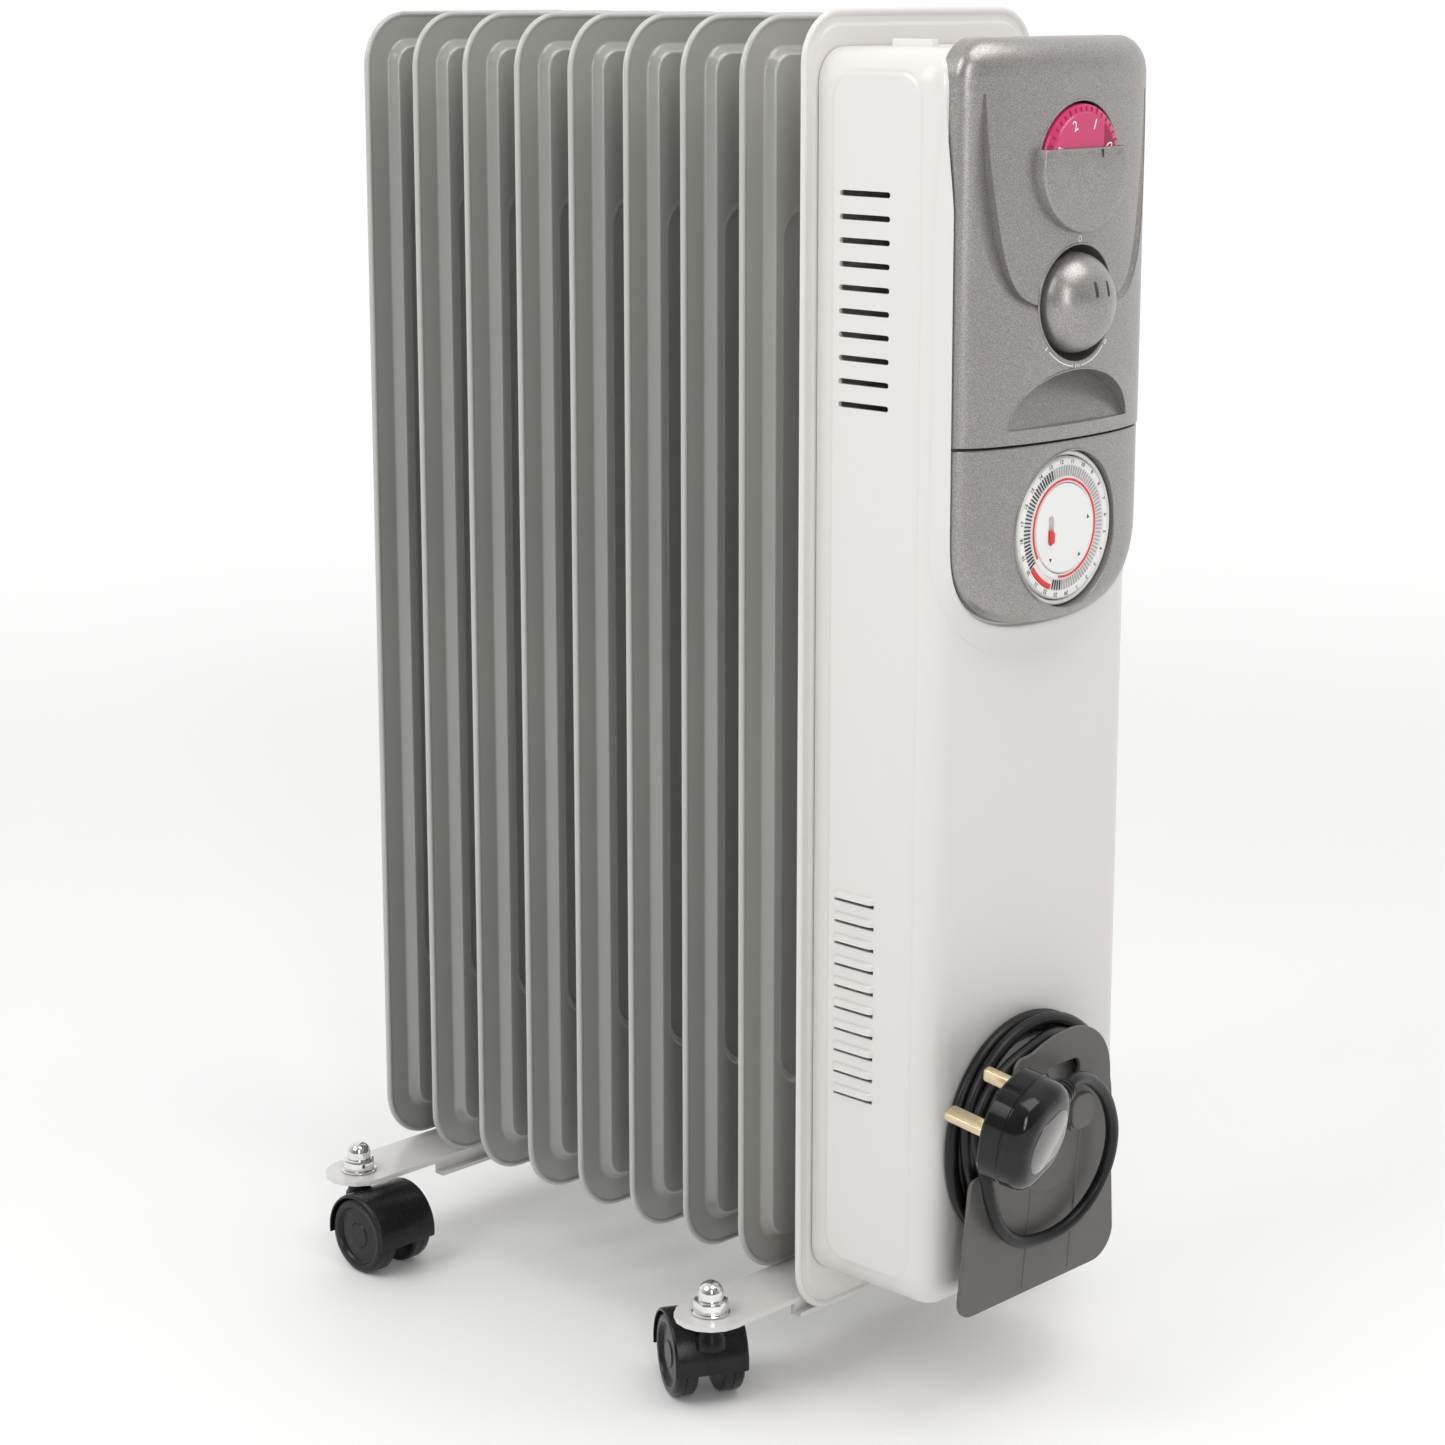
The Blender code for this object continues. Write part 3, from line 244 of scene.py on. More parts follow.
def surface(
    name, colour, roughness, metallic=0.0, tone=0.05, patch=14.0, grain=1400.0, depth=0.00002,
    spread=0.05, coat=0.0, fleck=0.0, edge=None, specular=0.5,
):
    """A finish with slow tone patches, fine grain in its bump and uneven roughness.

    fleck is the strength of fine metallic specks, edge a light colour mixed in along sharp and rolled edges as a
    painted highlight."""
    made = bpy.data.materials.new(name)
    made.use_nodes = True
    tree = made.node_tree
    shader = tree.nodes["Principled BSDF"]
    link = tree.links.new
    place = tree.nodes.new("ShaderNodeTexCoord").outputs["Object"]

    def noise(scale, detail):
        node = tree.nodes.new("ShaderNodeTexNoise")
        node.inputs["Scale"].default_value = scale
        node.inputs["Detail"].default_value = detail
        link(place, node.inputs["Vector"])
        return node.outputs["Fac"]

    def ramp(value, stops):
        node = tree.nodes.new("ShaderNodeValToRGB")
        node.color_ramp.elements[0].position, node.color_ramp.elements[0].color = stops[0]
        node.color_ramp.elements[1].position, node.color_ramp.elements[1].color = stops[-1]
        link(value, node.inputs["Fac"])
        return node.outputs["Color"]

    def shade(scale):
        return (*[min(c * scale, 1.0) for c in colour], 1.0)

    def mix_node(mode):
        node = tree.nodes.new("ShaderNodeMix")
        node.data_type = "RGBA"
        node.blend_type = mode
        link(tint, node.inputs["A"])
        return node

    tint = ramp(noise(patch, 5.0), ((0.32, shade(1.0 - tone)), (0.68, shade(1.0 + tone))))
    if fleck:
        speck = ramp(noise(grain, 1.0), ((0.36, (1 - fleck,) * 3 + (1,)), (0.66, (1 + fleck,) * 3 + (1,))))
        mix = mix_node("MULTIPLY")
        mix.inputs["Factor"].default_value = 1.0
        link(speck, mix.inputs["B"])
        tint = mix.outputs["Result"]
    # painted highlight: the edge colour is mixed in where the mesh is sharply curved, such as the fins' rolled edges
    if edge:
        edge_highlight_mask = ramp(
            tree.nodes.new("ShaderNodeNewGeometry").outputs["Pointiness"],
            ((0.52, (0, 0, 0, 1)), (0.60, (1, 1, 1, 1))),
        )
        mix = mix_node("MIX")
        link(edge_highlight_mask, mix.inputs["Factor"])
        mix.inputs["B"].default_value = (*edge, 1.0)
        tint = mix.outputs["Result"]
    link(tint, shader.inputs["Base Color"])
    gloss = map_range(tree, noise(patch * 3.1, 6.0), 0.3, 0.7, max(roughness - spread, 0.02), roughness + spread)
    link(gloss.outputs["Result"], shader.inputs["Roughness"])
    bump = tree.nodes.new("ShaderNodeBump")
    bump.inputs["Distance"].default_value = depth
    link(noise(grain, 3.0), bump.inputs["Height"])
    link(bump.outputs["Normal"], shader.inputs["Normal"])
    shader.inputs["Metallic"].default_value = metallic
    shader.inputs["Specular IOR Level"].default_value = specular
    shader.inputs["Coat Weight"].default_value = coat
    shader.inputs["Coat Roughness"].default_value = 0.12
    return made


PAINTS = {
    "fin_paint": surface(
        "fin_enamel", (0.33, 0.33, 0.31), 0.32, tone=0.05, patch=7.0, grain=420.0, depth=0.00006, coat=0.8,
        # painted highlight along the fins' rolled edges
        edge=(0.95, 0.95, 0.93),
    ),
    "white_paint": surface(
        "white_enamel", (0.71, 0.69, 0.67), 0.30, tone=0.006, patch=5.0, grain=700.0, depth=0.00003, spread=0.015,
        coat=0.25,
    ),
    "white_plastic": surface("white_moulding", (0.83, 0.83, 0.82), 0.38, tone=0.02, grain=2600.0, depth=0.00003),
    "panel_plastic": surface(
        "silver_grey_moulding", (0.330, 0.313, 0.303), 0.33, metallic=0.62, tone=0.04, patch=9.0, grain=2100.0,
        depth=0.00003, coat=0.10, fleck=0.26,
    ),
    "holder_plastic": surface(
        "dark_grey_moulding", (0.105, 0.098, 0.094), 0.42, tone=0.05, grain=2200.0, depth=0.00004, fleck=0.10
    ),
    "dial_plastic": surface("magenta_moulding", (0.56, 0.026, 0.135), 0.26, tone=0.05, grain=1800.0, coat=0.3),
    "red_plastic": surface("red_moulding", (0.74, 0.025, 0.03), 0.30, tone=0.05, grain=1800.0),
    "caster_plastic": surface(
        "black_caster_nylon", (0.008, 0.008, 0.0085), 0.27, tone=0.25, patch=60.0, grain=1500.0, depth=0.00004,
        spread=0.05, specular=0.32,
    ),
    "plug_plastic": surface(
        "black_gloss_moulding", (0.006, 0.006, 0.0065), 0.10, tone=0.2, patch=50.0, spread=0.03, specular=0.34
    ),
    "cord_jacket": surface(
        "black_cord_jacket", (0.006, 0.006, 0.006), 0.34, tone=0.2, patch=90.0, grain=1100.0, depth=0.00006,
        specular=0.34,
    ),
    "pin_brass": surface(
        "pin_brass", (0.72, 0.60, 0.40), 0.24, metallic=1.0, tone=0.07, patch=180.0, grain=2400.0, depth=0.00002
    ),
    "chrome": surface("chrome_plate", (0.78, 0.78, 0.77), 0.09, metallic=1.0, tone=0.05, patch=200.0, spread=0.03),
    "zinc_steel": surface("zinc_plate", (0.52, 0.52, 0.53), 0.34, metallic=1.0, tone=0.12, patch=220.0, spread=0.1),
    "element_sheath": surface("element_sheath", (0.28, 0.27, 0.26), 0.42, metallic=1.0, tone=0.15, patch=90.0),
    "brown_moulding": surface("brown_moulding", (0.095, 0.055, 0.038), 0.5, tone=0.12, patch=80.0),
}
DARK_INK = surface("dark_ink", (0.02, 0.02, 0.022), 0.5, tone=0.2, patch=300.0)
GREY_INK = surface("grey_ink", (0.42, 0.41, 0.41), 0.5, tone=0.1, patch=300.0)
WHITE_INK = surface("white_ink", (0.88, 0.87, 0.85), 0.45, tone=0.03, patch=300.0)
# dark magenta for the dial's printed ticks, and painted shade over the right side of its face
DIAL_PRINT_AND_SHADE = surface("magenta_print_and_painted_shade", (0.30, 0.008, 0.055), 0.3, tone=0.08, patch=200.0)
LENS = surface("smoked_lens", (0.085, 0.078, 0.078), 0.10, tone=0.12, patch=60.0, coat=0.7)


# ---------------------------------------------------------------- mesh helpers
def smooth(mesh, angle):
    """Smooth shading with sharp edges above an angle."""
    mesh.shade_smooth()
    mesh.set_sharp_from_angle(angle=radians(angle))


def even_shading(piece):
    piece.modifiers.new("Even shading", "WEIGHTED_NORMAL").keep_sharp = True


def add_mesh(name, bm, paint, angle=35.0):
    mesh = bpy.data.meshes.new(name)
    bm.normal_update()
    bm.to_mesh(mesh)
    bm.free()
    made = put(name, mesh)
    mesh.materials.append(paint)
    smooth(mesh, angle)
    return made


def settle(piece, slot, *nodes, body="heater"):
    """Rides the piece on its body and hides the CAD nodes that it stands for. slot is not used."""
    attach(piece, body)
    if nodes:
        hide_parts(*nodes)
    return piece


def new_piece(name, bm, finish, *nodes, body="heater", angle=35.0):
    """A settled piece. finish is a material slot of the record, or the paint of a detail that has none."""
    slot = finish if isinstance(finish, str) else None
    return settle(add_mesh(name, bm, PAINTS[slot] if slot else finish, angle), slot, *nodes, body=body)


SHARED = {}


def shared_piece(kind, name, make, slot, angle):
    """A piece on the mesh that all of its kind share, made with the first of them."""
    if kind in SHARED:
        return put(name, SHARED[kind])
    made = add_mesh(name, make(), PAINTS[slot], angle)
    SHARED[kind] = made.data
    return made


def outward(bm):
    bmesh.ops.recalc_face_normals(bm, faces=bm.faces)


def cutter(bm):
    outward(bm)
    return add_mesh("cutter", bm, DARK_INK)


def block(bm, place, size):
    """A small box about the origin of place."""
    bmesh.ops.create_cube(bm, size=1.0, matrix=place @ Matrix.Diagonal((*size, 1.0)))


def polar(radius, turn):
    return radius * cos(radians(turn)), radius * sin(radians(turn))


def loft(bm, rings, first_cap=True, last_cap=True, closed=True):
    """Quads between rings of equal point counts."""
    loops = [[bm.verts.new(point) for point in ring] for ring in rings]
    count = len(loops[0])
    for low, high in zip(loops, loops[1:]):
        for i in range(count if closed else count - 1):
            j = (i + 1) % count
            bm.faces.new((low[i], low[j], high[j], high[i]))
    if first_cap:
        bm.faces.new(list(reversed(loops[0])))
    if last_cap:
        bm.faces.new(loops[-1])
    return loops


def arc(cx, cz, radius, start, end, steps):
    """Points of an arc between two angles in degrees."""
    out = []
    for i in range(steps + 1):
        turn = radians(start + (end - start) * i / steps)
        out.append((cx + radius * cos(turn), cz + radius * sin(turn)))
    return out


def rounded_rect(x0, x1, z0, z1, radius, steps=8):
    corners = ((x1 - radius, z0 + radius, -90), (x1 - radius, z1 - radius, 0), (x0 + radius, z1 - radius, 90),
               (x0 + radius, z0 + radius, 180))
    out = []
    for cx, cz, start in corners:
        out += arc(cx, cz, radius, start, start + 90, steps)
    return out


def straight(x0, z0, x1, z1, steps=6):
    return [(x0 + (x1 - x0) * k / steps, z0 + (z1 - z0) * k / steps) for k in range(steps + 1)]


def facing_front(outline, y):
    return [(x, y, z) for x, z in outline]


def prism(outline, back, front):
    """A solid with an X-Z outline between two Y planes, for cutting."""
    bm = bmesh.new()
    loft(bm, [facing_front(outline, back), facing_front(outline, front)])
    return cutter(bm)


def lathe(bm, profile, place=Matrix.Identity(4), sides=48, start=0.0, end=360.0, cap=True):
    """Turns (radius, height) points about the local Z axis of place; a part turn is left open at its sides."""
    whole = abs(end - start) >= 360.0
    rings = []
    for radius, height in profile:
        r = max(radius, 0.00001)
        steps = sides if whole else sides + 1
        ring = []
        for i in range(steps):
            turn = radians(start + (end - start) * i / sides)
            ring.append(place @ Vector((r * cos(turn), r * sin(turn), height)))
        rings.append(ring)
    loft(bm, rings, cap and whole, cap and whole, closed=whole)


def boolean(target, tool, operation="DIFFERENCE"):
    step = target.modifiers.new(operation.title(), "BOOLEAN")
    step.operation = operation
    step.solver = "EXACT"
    step.object = tool
    bpy.context.view_layer.update()
    mesh = bpy.data.meshes.new_from_object(target.evaluated_get(bpy.context.evaluated_depsgraph_get()))
    target.modifiers.clear()
    old = target.data
    target.data = mesh
    bpy.data.meshes.remove(old)
    bpy.data.objects.remove(tool, do_unlink=True)
    smooth(mesh, 30)


def soften(piece, width, segments=2, angle=40.0):
    """Rounds the sharp edges of a piece."""
    step = piece.modifiers.new("Soft edges", "BEVEL")
    step.width = width
    step.segments = segments
    step.limit_method = "ANGLE"
    step.angle_limit = radians(angle)
    step.harden_normals = True


def smooth_path(points, spacing):
    """Points a fixed distance apart on a Catmull-Rom curve through the route's own points."""
    route = [Vector(p) for p in points]
    route = [2 * route[0] - route[1]] + route + [2 * route[-1] - route[-2]]
    fine = []
    for a, b, c, d in zip(route, route[1:], route[2:], route[3:]):
        for i in range(24):
            t = i / 24
            fine.append(
                0.5 * (2 * b + (c - a) * t + (2 * a - 5 * b + 4 * c - d) * t * t + (3 * b - a - 3 * c + d) * t ** 3)
            )
    fine.append(route[-2])
    length = sum((q - p).length for p, q in zip(fine, fine[1:]))
    count = max(2, round(length / spacing))
    out = [fine[0]]
    walked = 0.0
    for p, q in zip(fine, fine[1:]):
        step = (q - p).length
        while len(out) < count and walked + step >= length * len(out) / count:
            out.append(p.lerp(q, (length * len(out) / count - walked) / step))
        walked += step
    out.append(fine[-1])
    return out


def sweep(bm, points, radii, sides):
    """A tube along points without twist, of one radius or one for each point."""
    points = [Vector(p) for p in points]
    side = None
    rings = []
    for i, point in enumerate(points):
        ahead = (points[min(i + 1, len(points) - 1)] - points[max(i - 1, 0)]).normalized()
        if side is None:
            side = ahead.orthogonal().normalized()
        side = (side - ahead * side.dot(ahead)).normalized()
        other = ahead.cross(side)
        radius = radii[i] if isinstance(radii, (list, tuple)) else radii
        ring = []
        for k in range(sides):
            turn = 2 * pi * k / sides
            ring.append(point + side * cos(turn) * radius + other * sin(turn) * radius)
        rings.append(ring)
    loft(bm, rings)


LETTER_LIFT = 0.00006


def lettering(bm, text, size, place):
    """A number as a thin raised mesh, in the X-Y plane of place."""
    curve = bpy.data.curves.new("lettering", "FONT")
    curve.body = text
    curve.size = size
    curve.align_x = "CENTER"
    curve.align_y = "CENTER"
    curve.extrude = LETTER_LIFT
    curve.resolution_u = 3
    holder = put("lettering", curve)
    bpy.context.view_layer.update()
    mesh = bpy.data.meshes.new_from_object(holder)
    mesh.transform(place)
    bm.from_mesh(mesh)
    bpy.data.objects.remove(holder, do_unlink=True)
    bpy.data.meshes.remove(mesh)


def front_place(x, y, z, turn=0.0):
    """Local X-Y plane stood up to face -Y at a point, turned anticlockwise by degrees seen from the front."""
    upright = Matrix.Rotation(radians(90), 4, "X")
    return Matrix.Translation((x, y, z)) @ upright @ Matrix.Rotation(radians(turn), 4, "Z")


def ease(t):
    t = min(max(t, 0.0), 1.0)
    return t * t * (3 - 2 * t)


def stadium(cx, low, high, half, steps=12):
    return arc(cx, low + half, half, 180, 360, steps) + arc(cx, high - half, half, 0, 180, steps)


# ---------------------------------------------------------------- cord and plug
def plug_point(along, across, height):
    return PLUG_CENTRE + EARTH_SIDE * along + PIN_SIDE * across + PIN_AXIS * height


PLUG_PLACE = Matrix.Translation(PLUG_CENTRE) @ Matrix((EARTH_SIDE, PIN_SIDE, PIN_AXIS)).transposed().to_4x4()
GLAND_ANGLE = 215.0             # place of the gland round the hub, in degrees
GLAND_RADIUS = 0.0355
GLAND_HALF = 0.0070
GLAND_Y = BOX_FRONT - GAP - 0.0050
GLAND_RELIEF = 0.0240           # length of the tapered sleeve on the cord
WIND_STEP = 6.0
WIND_END = 1375.2               # degrees wound from the gland to the coil's left side
# radius and distance from the box at angles wound, eased between them
WIND_RADII = ((0, 0.0362), (100, COIL_NEAR), (400, COIL_NEAR), (440, COIL_FAR), (1000, COIL_FAR),
              (1060, COIL_NEAR), (1315, COIL_NEAR), (WIND_END, 0.0549))
LEAD_Y = PLATE_Y - 0.0925
WIND_DEPTHS = ((0, GLAND_Y), (100, LAYER_BACK), (700, LAYER_BACK), (760, LAYER_FRONT), (1262, LAYER_FRONT),
               (1325, LEAD_Y), (WIND_END, LEAD_Y))
LEAD_ROUTE = (                  # X, Y from the end plate and Z of the front loop, on its way to the plug
    (-0.0600, -0.0925, 0.1540), (-0.0614, -0.0952, 0.1430), (-0.0606, -0.0990, 0.1310),
    (-0.0575, -0.0992, 0.1190), (-0.0490, -0.0980, 0.1040), (-0.0350, -0.0968, 0.0930),
    (-0.0160, -0.0966, 0.0885), (0.0035, -0.0974, 0.0908), (0.0188, -0.0990, 0.1008),
    (0.0267, -0.1015, 0.1166), (0.0254, -0.1045, 0.1347), (0.0154, -0.1075, 0.1527),
    (-0.0005, -0.1105, 0.1657),
)


def eased(table, at):
    for (a, low), (b, high) in zip(table, table[1:]):
        if at <= b:
            return low + (high - low) * ease((at - a) / (b - a))
    return table[-1][1]


def gland_exit():
    turn = radians(GLAND_ANGLE)
    middle = Vector((STORE_X + GLAND_RADIUS * cos(turn), GLAND_Y, STORE_Z + GLAND_RADIUS * sin(turn)))
    return middle - Vector((sin(turn), 0, -cos(turn))) * GLAND_HALF


def cord_line():
    start = gland_exit()
    first = degrees(atan2(start.z - STORE_Z, start.x - STORE_X))
    points = []
    wound = 0.0
    while wound < WIND_END - 0.5 * WIND_STEP:
        turn = radians(first + wound)
        radius = eased(WIND_RADII, wound)
        points.append(Vector((
            STORE_X + radius * cos(turn), eased(WIND_DEPTHS, wound), STORE_Z + radius * sin(turn)
        )))
        wound += WIND_STEP
    relief_end = -PLUG_LENGTH / 2 - RELIEF_LENGTH
    into_plug = [plug_point(relief_end - run, 0.0, RELIEF_HEIGHT) for run in (0.0080, -0.0040)]
    lead = [Vector((x, PLATE_Y + y, z)) for x, y, z in LEAD_ROUTE] + into_plug
    return points + smooth_path(lead, 0.0040)


def build_cord():
    points = cord_line()
    curve = bpy.data.curves.new("mains_cord", "CURVE")
    curve.dimensions = "3D"
    curve.bevel_depth = CORD_RADIUS
    curve.bevel_resolution = 4
    curve.use_fill_caps = True
    spline = curve.splines.new("POLY")
    spline.points.add(len(points) - 1)
    for slot, point in zip(spline.points, points):
        slot.co = (*point, 1.0)
    spline.use_smooth = True
    cord = put("mains_cord", curve)
    curve.materials.append(PAINTS["cord_jacket"])
    settle(cord, "cord_jacket", "cord_lead", "cord_coil")

    bm = bmesh.new()
    sleeve, walked = [points[0]], 0.0
    for p, q in zip(points, points[1:]):
        walked += (q - p).length
        if walked > GLAND_RELIEF:
            break
        sleeve.append(q)
    dense = smooth_path(sleeve, 0.0012)
    radii = []
    for i in range(len(dense)):
        share = i / (len(dense) - 1)
        rib = 0.0003 if i % 4 < 2 else 0.0
        radii.append(0.0049 - 0.0015 * share + rib)
    sweep(bm, dense, radii, sides=20)
    relief = new_piece("gland_relief", bm, "plug_plastic")
    length = sum((q - p).length for p, q in zip(points, points[1:]))
    return cord, relief, points[0], length


def plug_layers(bm, x0, x1, z0, z1, radius, levels, steps, least=0.0):
    """A solid in the plug's frame, from (height, inset) levels of one rounded outline."""
    rings = []
    for height, inset in levels:
        outline = rounded_rect(x0 + inset, x1 - inset, z0 + inset, z1 - inset, max(radius - inset, least), steps)
        rings.append([(a, b, height) for a, b in outline])
    loft(bm, rings)


def plug_piece(name, bm, finish, *nodes, angle=35.0):
    """A piece built in the plug's frame, moved to the plug's place."""
    outward(bm)
    bmesh.ops.transform(bm, matrix=PLUG_PLACE, verts=bm.verts)
    return new_piece(name, bm, finish, *nodes, angle=angle)


def build_plug():
    half_length, half_width = PLUG_LENGTH / 2, PLUG_WIDTH / 2
    levels = (
        (0.0, 0.0030), (0.0, 0.0016), (-0.0004, 0.0006), (-0.0014, 0.0), (-0.0098, 0.0), (-0.0102, 0.0005),
        (-0.0108, 0.0005), (-0.0112, 0.0), (-0.0158, 0.0002), (-0.0188, 0.0009), (-0.0210, 0.0024),
        (-0.0226, 0.0046), (-0.0234, 0.0072), (-PLUG_THICK, 0.0105),
    )
    bm = bmesh.new()
    plug_layers(bm, -half_length, half_length, -half_width, half_width, PLUG_CORNER, levels, 14, 0.0045)
    sleeve = Matrix.Translation((-half_length + 0.004, 0, RELIEF_HEIGHT)) @ Matrix.Rotation(radians(-90), 4, "Y")
    profile = [(0.0072, 0.0), (0.0070, 0.0040)]
    for k in range(5):
        reach = 0.0050 + k * 0.0028
        radius = 0.0066 - k * 0.0004
        profile += [(radius, reach), (radius, reach + 0.0016), (radius - 0.0010, reach + 0.0018),
                    (radius - 0.0010, reach + 0.0026)]
    profile += [(0.0044, 0.004 + RELIEF_LENGTH), (CORD_RADIUS, 0.004 + RELIEF_LENGTH)]
    lathe(bm, profile, sleeve, sides=28)
    body = plug_piece("plug_shell", bm, "plug_plastic", "plug_body", angle=28.0)

    bm = bmesh.new()
    levels = ((-PLUG_THICK + 0.0006, 0.0), (-PLUG_THICK - 0.0003, 0.0002), (-PLUG_THICK - 0.0006, 0.0008))
    plug_layers(bm, -LENS_LENGTH / 2, LENS_LENGTH / 2, -LENS_WIDTH / 2, LENS_WIDTH / 2, LENS_CORNER, levels, 12)
    lens = plug_piece("plug_lens", bm, LENS)

    pins = []
    for node, along, across, size_along, size_across, reach in (
        ("plug_pin_earth", 0.0105, 0.0, 0.0080, 0.0040, 0.0227),
        ("plug_pin_live", -0.0115, 0.0111, 0.0040, 0.0063, 0.0177),
        ("plug_pin_neutral", -0.0115, -0.0111, 0.0040, 0.0063, 0.0177),
    ):
        bm = bmesh.new()
        levels = ((-0.0010, 0.0), (reach - 0.0016, 0.0), (reach - 0.0006, 0.0004), (reach, 0.0011))
        plug_layers(bm, along - size_along / 2, along + size_along / 2, across - size_across / 2,
                    across + size_across / 2, PIN_CORNER, levels, 3, PIN_CORNER)
        pins.append(plug_piece(node.replace("plug_pin", "pin"), bm, "pin_brass", node, angle=25.0))
    return [body, lens] + pins


CORD, RELIEF, CORD_EXIT, CORD_LENGTH = build_cord()
PLUG_PIECES = build_plug()


# ---------------------------------------------------------------- fins and end plate
def face_levels(rim_half, rim, slope, panel_half, edge=FIN_EDGE):
    """Insets and heights across one face of a plate, from its edge in to its raised panel."""
    out = []
    for turn in (0, 22, 45, 67, 90, 115, 140):
        angle = radians(turn)
        out.append((edge - edge * cos(angle), edge * sin(angle)))
    out += [(edge * 2.2, rim_half), (rim - 0.0006, rim_half)]
    for k in range(9):
        out.append((rim + slope * k / 8, rim_half + (panel_half - rim_half) * ease(k / 8)))
    return out


def plate_rings(bm, levels, face, y, bottom, top, corner):
    """One face of a plate up to its raised panel, whose outline comes back as vertices."""
    rings = []
    for inset, height in levels:
        outline = rounded_rect(
            -FIN_HALF + inset, FIN_HALF - inset, bottom + inset, top - inset, max(corner - inset, 0.0045), 12
        )
        rings.append(facing_front(outline, y + face * height))
    return loft(bm, rings, False, False)[-1]


def loop_edges(bm, loop):
    """Edges round a closed loop of vertices, made where they are missing."""
    out = []
    for a, b in zip(loop, loop[1:] + loop[:1]):
        out.append(bm.edges.get((a, b)) or bm.edges.new((a, b)))
    return out


def panel_face(bm, outer, face, y, panel_half):
    """Fills a raised panel round its two pressed valleys."""
    edges = loop_edges(bm, outer)
    for side in (-1, 1):
        rings = []
        for k in range(9):
            inset = VALLEY_SLOPE * k / 8
            height = panel_half - (panel_half - VALLEY_FLOOR) * ease(k / 8)
            outline = stadium(
                side * VALLEY_OFFSET, VALLEY_BOTTOM + inset, VALLEY_TOP - inset, VALLEY_WIDTH / 2 - inset, 16
            )
            rings.append(facing_front(outline, y + face * height))
        edges += loop_edges(bm, loft(bm, rings, first_cap=False)[0])
    bmesh.ops.triangle_fill(bm, use_beauty=True, edges=edges)


def neck(bm, y, z, face):
    """Drawn neck with a rounded root and the seam half way to the next plate."""
    reach = FIN_PITCH / 2 - GAP / 2
    root = FIN_PANEL_HALF - NECK_SEAM
    profile = []
    for turn in (0, 20, 40, 60, 80, 90):
        angle = radians(turn)
        profile.append((HEADER_RADIUS + NECK_ROOT * (1 - sin(angle)), root + NECK_ROOT * (1 - cos(angle))))
    profile += [(HEADER_RADIUS, reach - 0.0012), (HEADER_RADIUS + NECK_SEAM, reach - 0.0006),
                (HEADER_RADIUS + NECK_SEAM, reach)]
    turn = Matrix.Rotation(radians(90 if face < 0 else -90), 4, "X")
    lathe(bm, profile, Matrix.Translation((0, y, z)) @ turn, sides=40)


def fin_mesh(name, neck_faces):
    bm = bmesh.new()
    levels = face_levels(FIN_RIM_HALF, FIN_RIM, FIN_SLOPE, FIN_PANEL_HALF)
    for face in (-1, 1):
        outer = plate_rings(bm, levels, face, 0.0, FIN_BOTTOM, FIN_TOP, FIN_CORNER)
        panel_face(bm, outer, face, 0.0, FIN_PANEL_HALF)
    for face in neck_faces:
        for z in HEADERS:
            neck(bm, 0.0, z, face)
    bmesh.ops.remove_doubles(bm, verts=bm.verts, dist=0.00001)
    outward(bm)
    fin = add_mesh(name, bm, PAINTS["fin_paint"], 40.0)
    even_shading(fin)
    return fin


def build_fins():
    first = fin_mesh("fin_skin_1", (-1, 1))
    last = fin_mesh("fin_skin_%d" % FIN_COUNT, (-1,))
    for number in range(1, FIN_COUNT + 1):
        fin = {1: first, FIN_COUNT: last}.get(number)
        if fin is None:
            fin = put("fin_skin_%d" % number, first.data)
            even_shading(fin)
        fin.location.y = PLATE_Y + number * FIN_PITCH
        settle(fin, "fin_paint", "fin_%d" % number)


def build_end_plate():
    bm = bmesh.new()
    back = face_levels(FIN_RIM_HALF, FIN_RIM, FIN_SLOPE, FIN_PANEL_HALF)
    outer = plate_rings(bm, back, 1, PLATE_Y, PLATE_BOTTOM, PLATE_TOP, PLATE_CORNER)
    bm.faces.new(outer)
    front = face_levels(0.0004, 0.0060, 0.0020, 0.0013)
    outer = plate_rings(bm, front, -1, PLATE_Y, PLATE_BOTTOM, PLATE_TOP, PLATE_CORNER)
    bm.faces.new(outer)
    for z in HEADERS:
        neck(bm, PLATE_Y, z, 1)
    bmesh.ops.remove_doubles(bm, verts=bm.verts, dist=0.00001)
    outward(bm)
    even_shading(new_piece("end_plate_skin", bm, "white_paint", "end_plate", angle=40.0))


build_fins()
build_end_plate()


# ---------------------------------------------------------------- control box
def box_ring(inset, y):
    radius = max(BOX_EDGE - inset, 0.003)
    return facing_front(
        rounded_rect(-BOX_HALF + inset, BOX_HALF - inset, BOX_BOTTOM + inset, BOX_TOP - inset, radius, 10), y
    )


def box_surface(x, z):
    """Y of the box's front, its rounded edge included."""
    over = max(abs(x) - BOX_HALF + BOX_CORNER, BOX_BOTTOM + BOX_CORNER - z, z - BOX_TOP + BOX_CORNER, 0.0)
    over = min(over, BOX_CORNER * 0.999)
    return BOX_FRONT + BOX_CORNER - sqrt(BOX_CORNER ** 2 - over ** 2)


def side_prism(outlines, xs):
    """A solid along X from Y-Z outlines at the given X places."""
    bm = bmesh.new()
    loft(bm, [[(x, y, z) for y, z in outline] for x, outline in zip(xs, outlines)])
    return cutter(bm)


def vent_comb(y_far, top, height, square):
    bm = bmesh.new()
    for index in range(VENT_COUNT):
        z = top - index * VENT_PITCH
        y0, y1 = PLATE_Y - y_far, PLATE_Y - VENT_NEAR
        half = height / 2
        if square:
            outline = [(y0, z - half), (y1, z - half), (y1, z + half), (y0, z + half)]
        else:
            outline = rounded_rect(y0, y1, z - half, z + half, half * 0.98, 6)
        loft(bm, [[(x, y, v) for y, v in outline] for x in (-BOX_HALF - THROUGH, BOX_HALF + THROUGH)])
    return cutter(bm)


